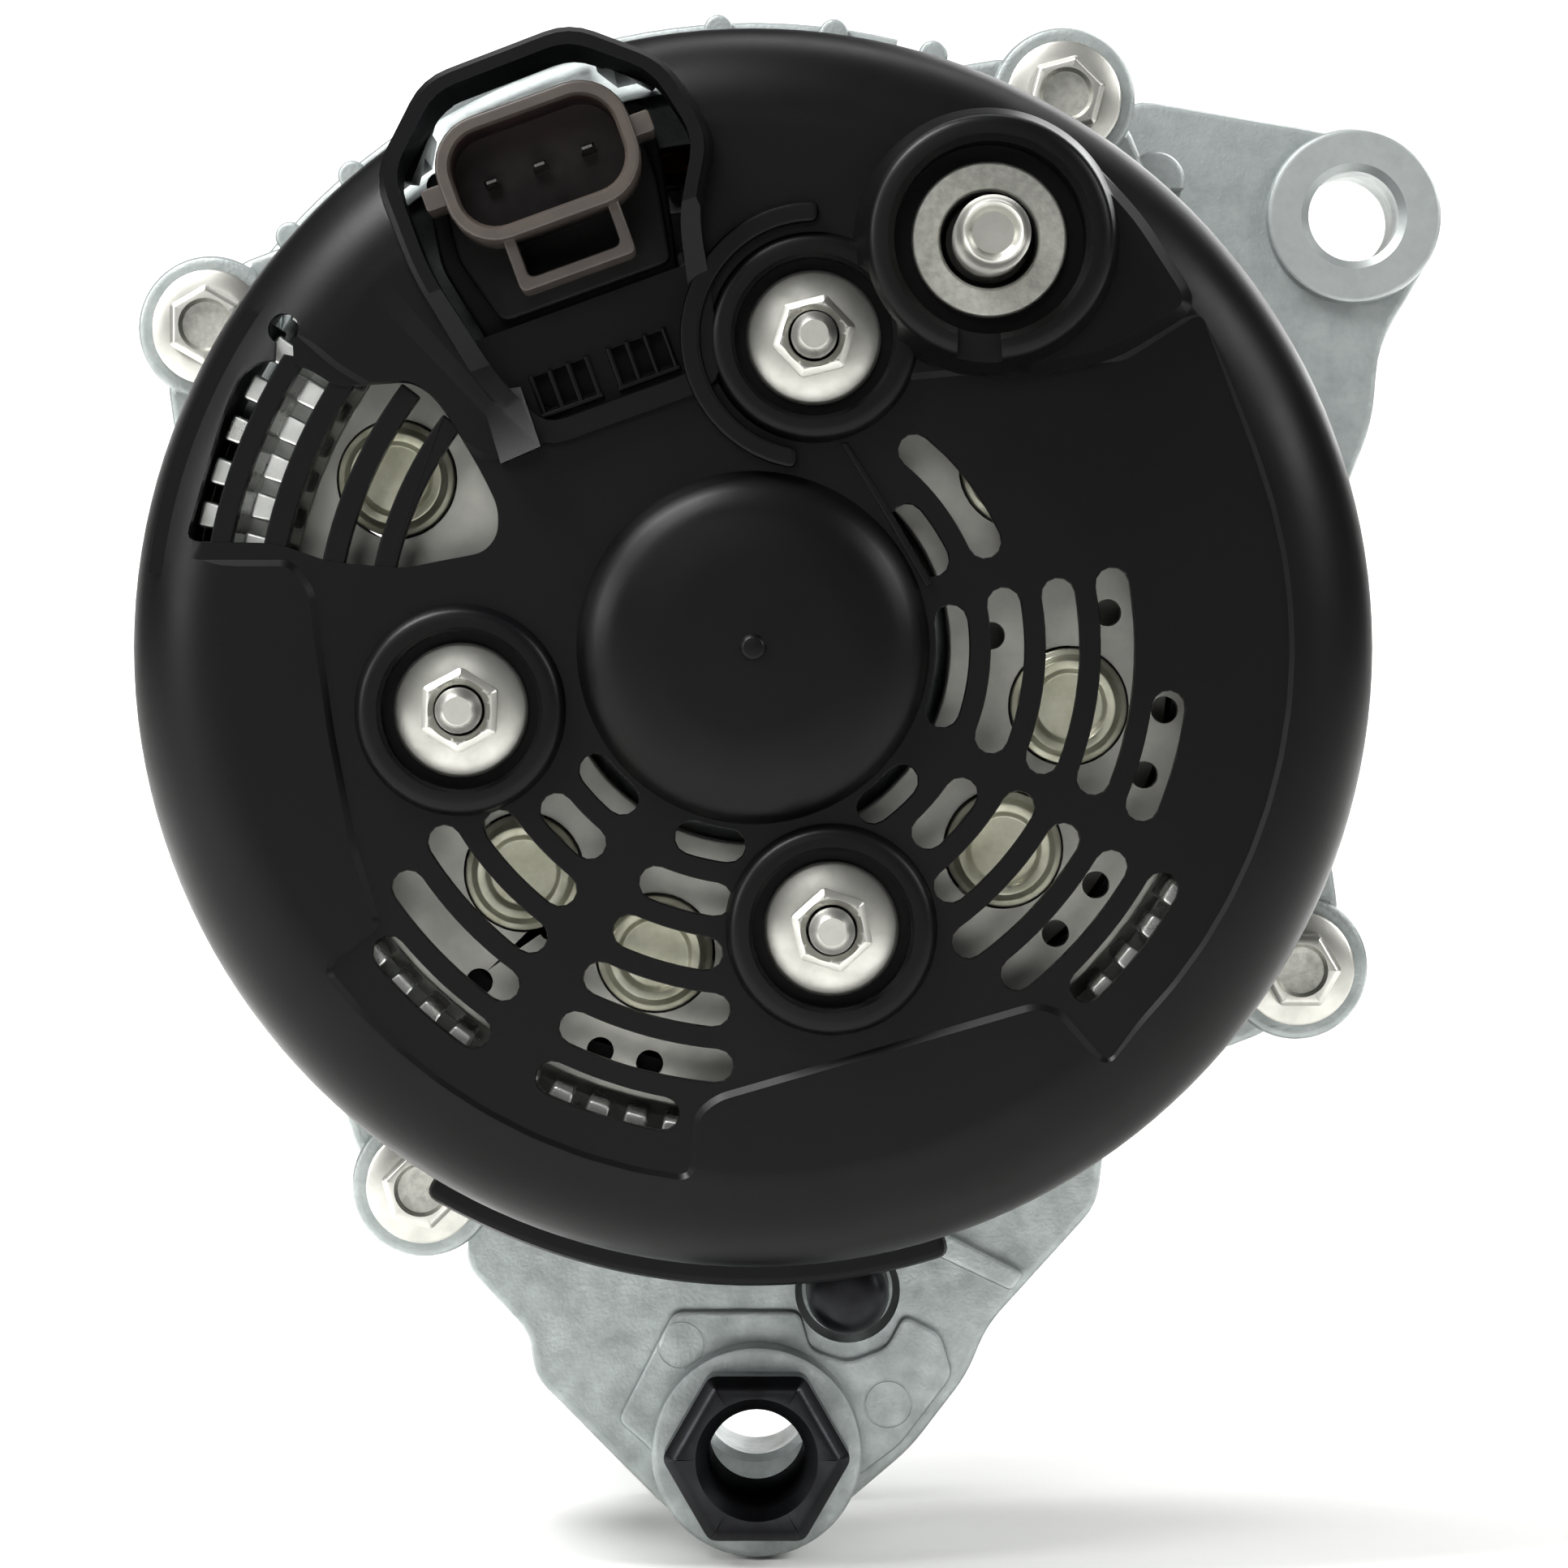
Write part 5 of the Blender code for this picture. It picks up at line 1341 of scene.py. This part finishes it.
class ALTERNATOR_OT_kept_nodes(bpy.types.Operator):
    """Gives the CAD pieces that keep their shape their real surfaces"""

    bl_idname = "alternator.kept_nodes"
    bl_label = "Surfaces of the inner pieces"

    def execute(self, context):
        for finish, names in KEPT_NODES.items():
            for name in names:
                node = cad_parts[name]
                for holder in node.material_slots:
                    holder.material = surface(finish)
                pick(node)
                bpy.ops.object.shade_smooth_by_angle(angle=math.radians(32.0))
        deselect()
        return {"FINISHED"}


# ---- the stage -----------------------------------------------------------------------------
FLOOR_HALF, SWEEP_START, SWEEP_RADIUS = 1300.0, 900.0, 700.0
AS_SEEN, AS_LIGHT = 1.0, 0.11                      # the white surround's two strengths
# Each light's name, place, aim and width in metres, and its watts.
LIGHTS = (
    ("top_softbox", (-0.40, -0.42, 0.70), (0.0, -0.14, 0.0), 0.45, 19.0),
    ("left_softbox", (-0.95, -0.62, 0.30), (0.0, -0.14, 0.0), 0.5, 8.0),
    ("right_softbox", (0.90, -0.60, 0.50), (0.0, -0.14, 0.0), 0.5, 8.0),
    ("lens_softbox", (-0.16, -1.15, 0.34), (0.0, -0.16, 0.0), 0.3, 1.1),
    ("pulley_softbox", (0.5, 0.9, 0.5), (0.0, -0.05, 0.0), 0.7, 5.5),
    ("backdrop_wash", (0.0, 0.35, 0.9), (0.0, 1.3, 0.2), 1.2, 26.0),
)


class ALTERNATOR_OT_stage(bpy.types.Operator):
    """Pale floor that sweeps up behind, soft lights, and the camera behind the rear cover"""

    bl_idname = "alternator.stage"
    bl_label = "Stage, lights and camera"

    def execute(self, context):
        ground = CAD_BOX[0][2] / MM - 0.2
        sweep = [(-FLOOR_HALF, ground), (SWEEP_START, ground)]
        for degrees in range(10, 91, 10):
            turn = math.radians(degrees)
            sweep.append((SWEEP_START + SWEEP_RADIUS * math.sin(turn),
                          ground + SWEEP_RADIUS * (1 - math.cos(turn))))
        sweep.append((SWEEP_START + SWEEP_RADIUS, 3500.0))
        back = [(y, z - 6.0) for y, z in sweep[::-1]]
        floor = loft([[(x, y, z) for y, z in sweep + back] for x in (-FLOOR_HALF, FLOOR_HALF)])
        floor.name = "floor"
        pick(floor)
        bpy.ops.object.shade_smooth_by_angle(angle=math.radians(30.0))
        paper = bpy.data.materials.new("seamless_paper")
        paper.use_nodes = True
        tree = paper.node_tree
        shader = tree.nodes["Principled BSDF"]
        where = add_node(tree, "ShaderNodeTexCoord").outputs["Object"]
        fibres = add_node(
            tree, "ShaderNodeTexNoise", {"Vector": where, "Scale": 260.0}
        ).outputs["Fac"]
        tone = add_node(tree, "ShaderNodeValToRGB", {"Fac": fibres})
        dark, light = tone.color_ramp.elements
        dark.color = [part * 0.98 for part in colours().floor] + [1.0]
        light.color = [*colours().floor, 1.0]
        tree.links.new(tone.outputs["Color"], shader.inputs["Base Color"])
        shader.inputs["Roughness"].default_value = 0.85
        floor.data.materials.append(paper)

        world = bpy.data.worlds.new("studio")
        bpy.context.scene.world = world
        world.use_nodes = True
        seen = add_node(world.node_tree, "ShaderNodeLightPath").outputs["Is Camera Ray"]
        strength = add_node(
            world.node_tree, "ShaderNodeMapRange",
            {"Value": seen, "To Min": AS_LIGHT, "To Max": AS_SEEN},
        ).outputs["Result"]
        background = world.node_tree.nodes["Background"]
        background.inputs["Color"].default_value = (1.0, 1.0, 1.0, 1.0)
        world.node_tree.links.new(strength, background.inputs["Strength"])
        for lamp in LIGHTS:
            self.light(*lamp)

        camera = bpy.data.objects.new("camera", bpy.data.cameras.new("camera"))
        bpy.context.scene.collection.objects.link(camera)
        camera.location = (0.0, -0.763, 0.0)
        camera.rotation_euler = (math.pi / 2, 0.0, 0.0)
        camera.data.sensor_width = 36.0
        camera.data.lens = 128.5
        camera.data.shift_x = 0.0197
        camera.data.shift_y = -0.087
        camera.data.clip_start = 0.01
        bpy.context.scene.camera = camera
        bpy.context.scene.view_settings.view_transform = "Standard"
        return {"FINISHED"}

    def light(self, name, place, aim, size, watts):
        lamp = bpy.data.lights.new(name, "AREA")
        lamp.shape = "DISK"
        lamp.size = size
        lamp.energy = watts
        holder = bpy.data.objects.new(name, lamp)
        bpy.context.scene.collection.objects.link(holder)
        holder.location = place
        holder.rotation_euler = (Vector(aim) - Vector(place)).to_track_quat("-Z", "Y").to_euler()


# ---- panel and registration ----------------------------------------------------------------
OPERATORS = (
    ALTERNATOR_OT_front_frame, ALTERNATOR_OT_rear_frame, ALTERNATOR_OT_through_bolts,
    ALTERNATOR_OT_pivot_bush, ALTERNATOR_OT_winding, ALTERNATOR_OT_fans, ALTERNATOR_OT_shaft,
    ALTERNATOR_OT_pulley, ALTERNATOR_OT_rectifier, ALTERNATOR_OT_output_terminal,
    ALTERNATOR_OT_regulator, ALTERNATOR_OT_brush_springs, ALTERNATOR_OT_rear_cover,
    ALTERNATOR_OT_cover_fasteners, ALTERNATOR_OT_kept_nodes, ALTERNATOR_OT_stage,
)


class ALTERNATOR_PT_pieces(bpy.types.Panel):
    """Buttons for the alternator's pieces, and their sizes and colours"""

    bl_idname = "ALTERNATOR_PT_pieces"
    bl_label = "Car alternator"
    bl_space_type = "VIEW_3D"
    bl_region_type = "UI"
    bl_category = "Alternator"

    def draw(self, context):
        for group in (context.scene.alternator_sizes, context.scene.alternator_colours):
            for name in type(group).__annotations__:
                self.layout.prop(group, name)
        for operator in OPERATORS:
            self.layout.operator(operator.bl_idname)


CLASSES = (AlternatorSizes, AlternatorColours, *OPERATORS, ALTERNATOR_PT_pieces)


def register():
    for cls in CLASSES:
        bpy.utils.register_class(cls)
    bpy.types.Scene.alternator_sizes = PointerProperty(type=AlternatorSizes)
    bpy.types.Scene.alternator_colours = PointerProperty(type=AlternatorColours)


def unregister():
    del bpy.types.Scene.alternator_colours
    del bpy.types.Scene.alternator_sizes
    for cls in reversed(CLASSES):
        bpy.utils.unregister_class(cls)


def main():
    register()
    for operator in OPERATORS:
        group, call = operator.bl_idname.split(".")
        getattr(getattr(bpy.ops, group), call)()


if __name__ == "__main__":
    main()
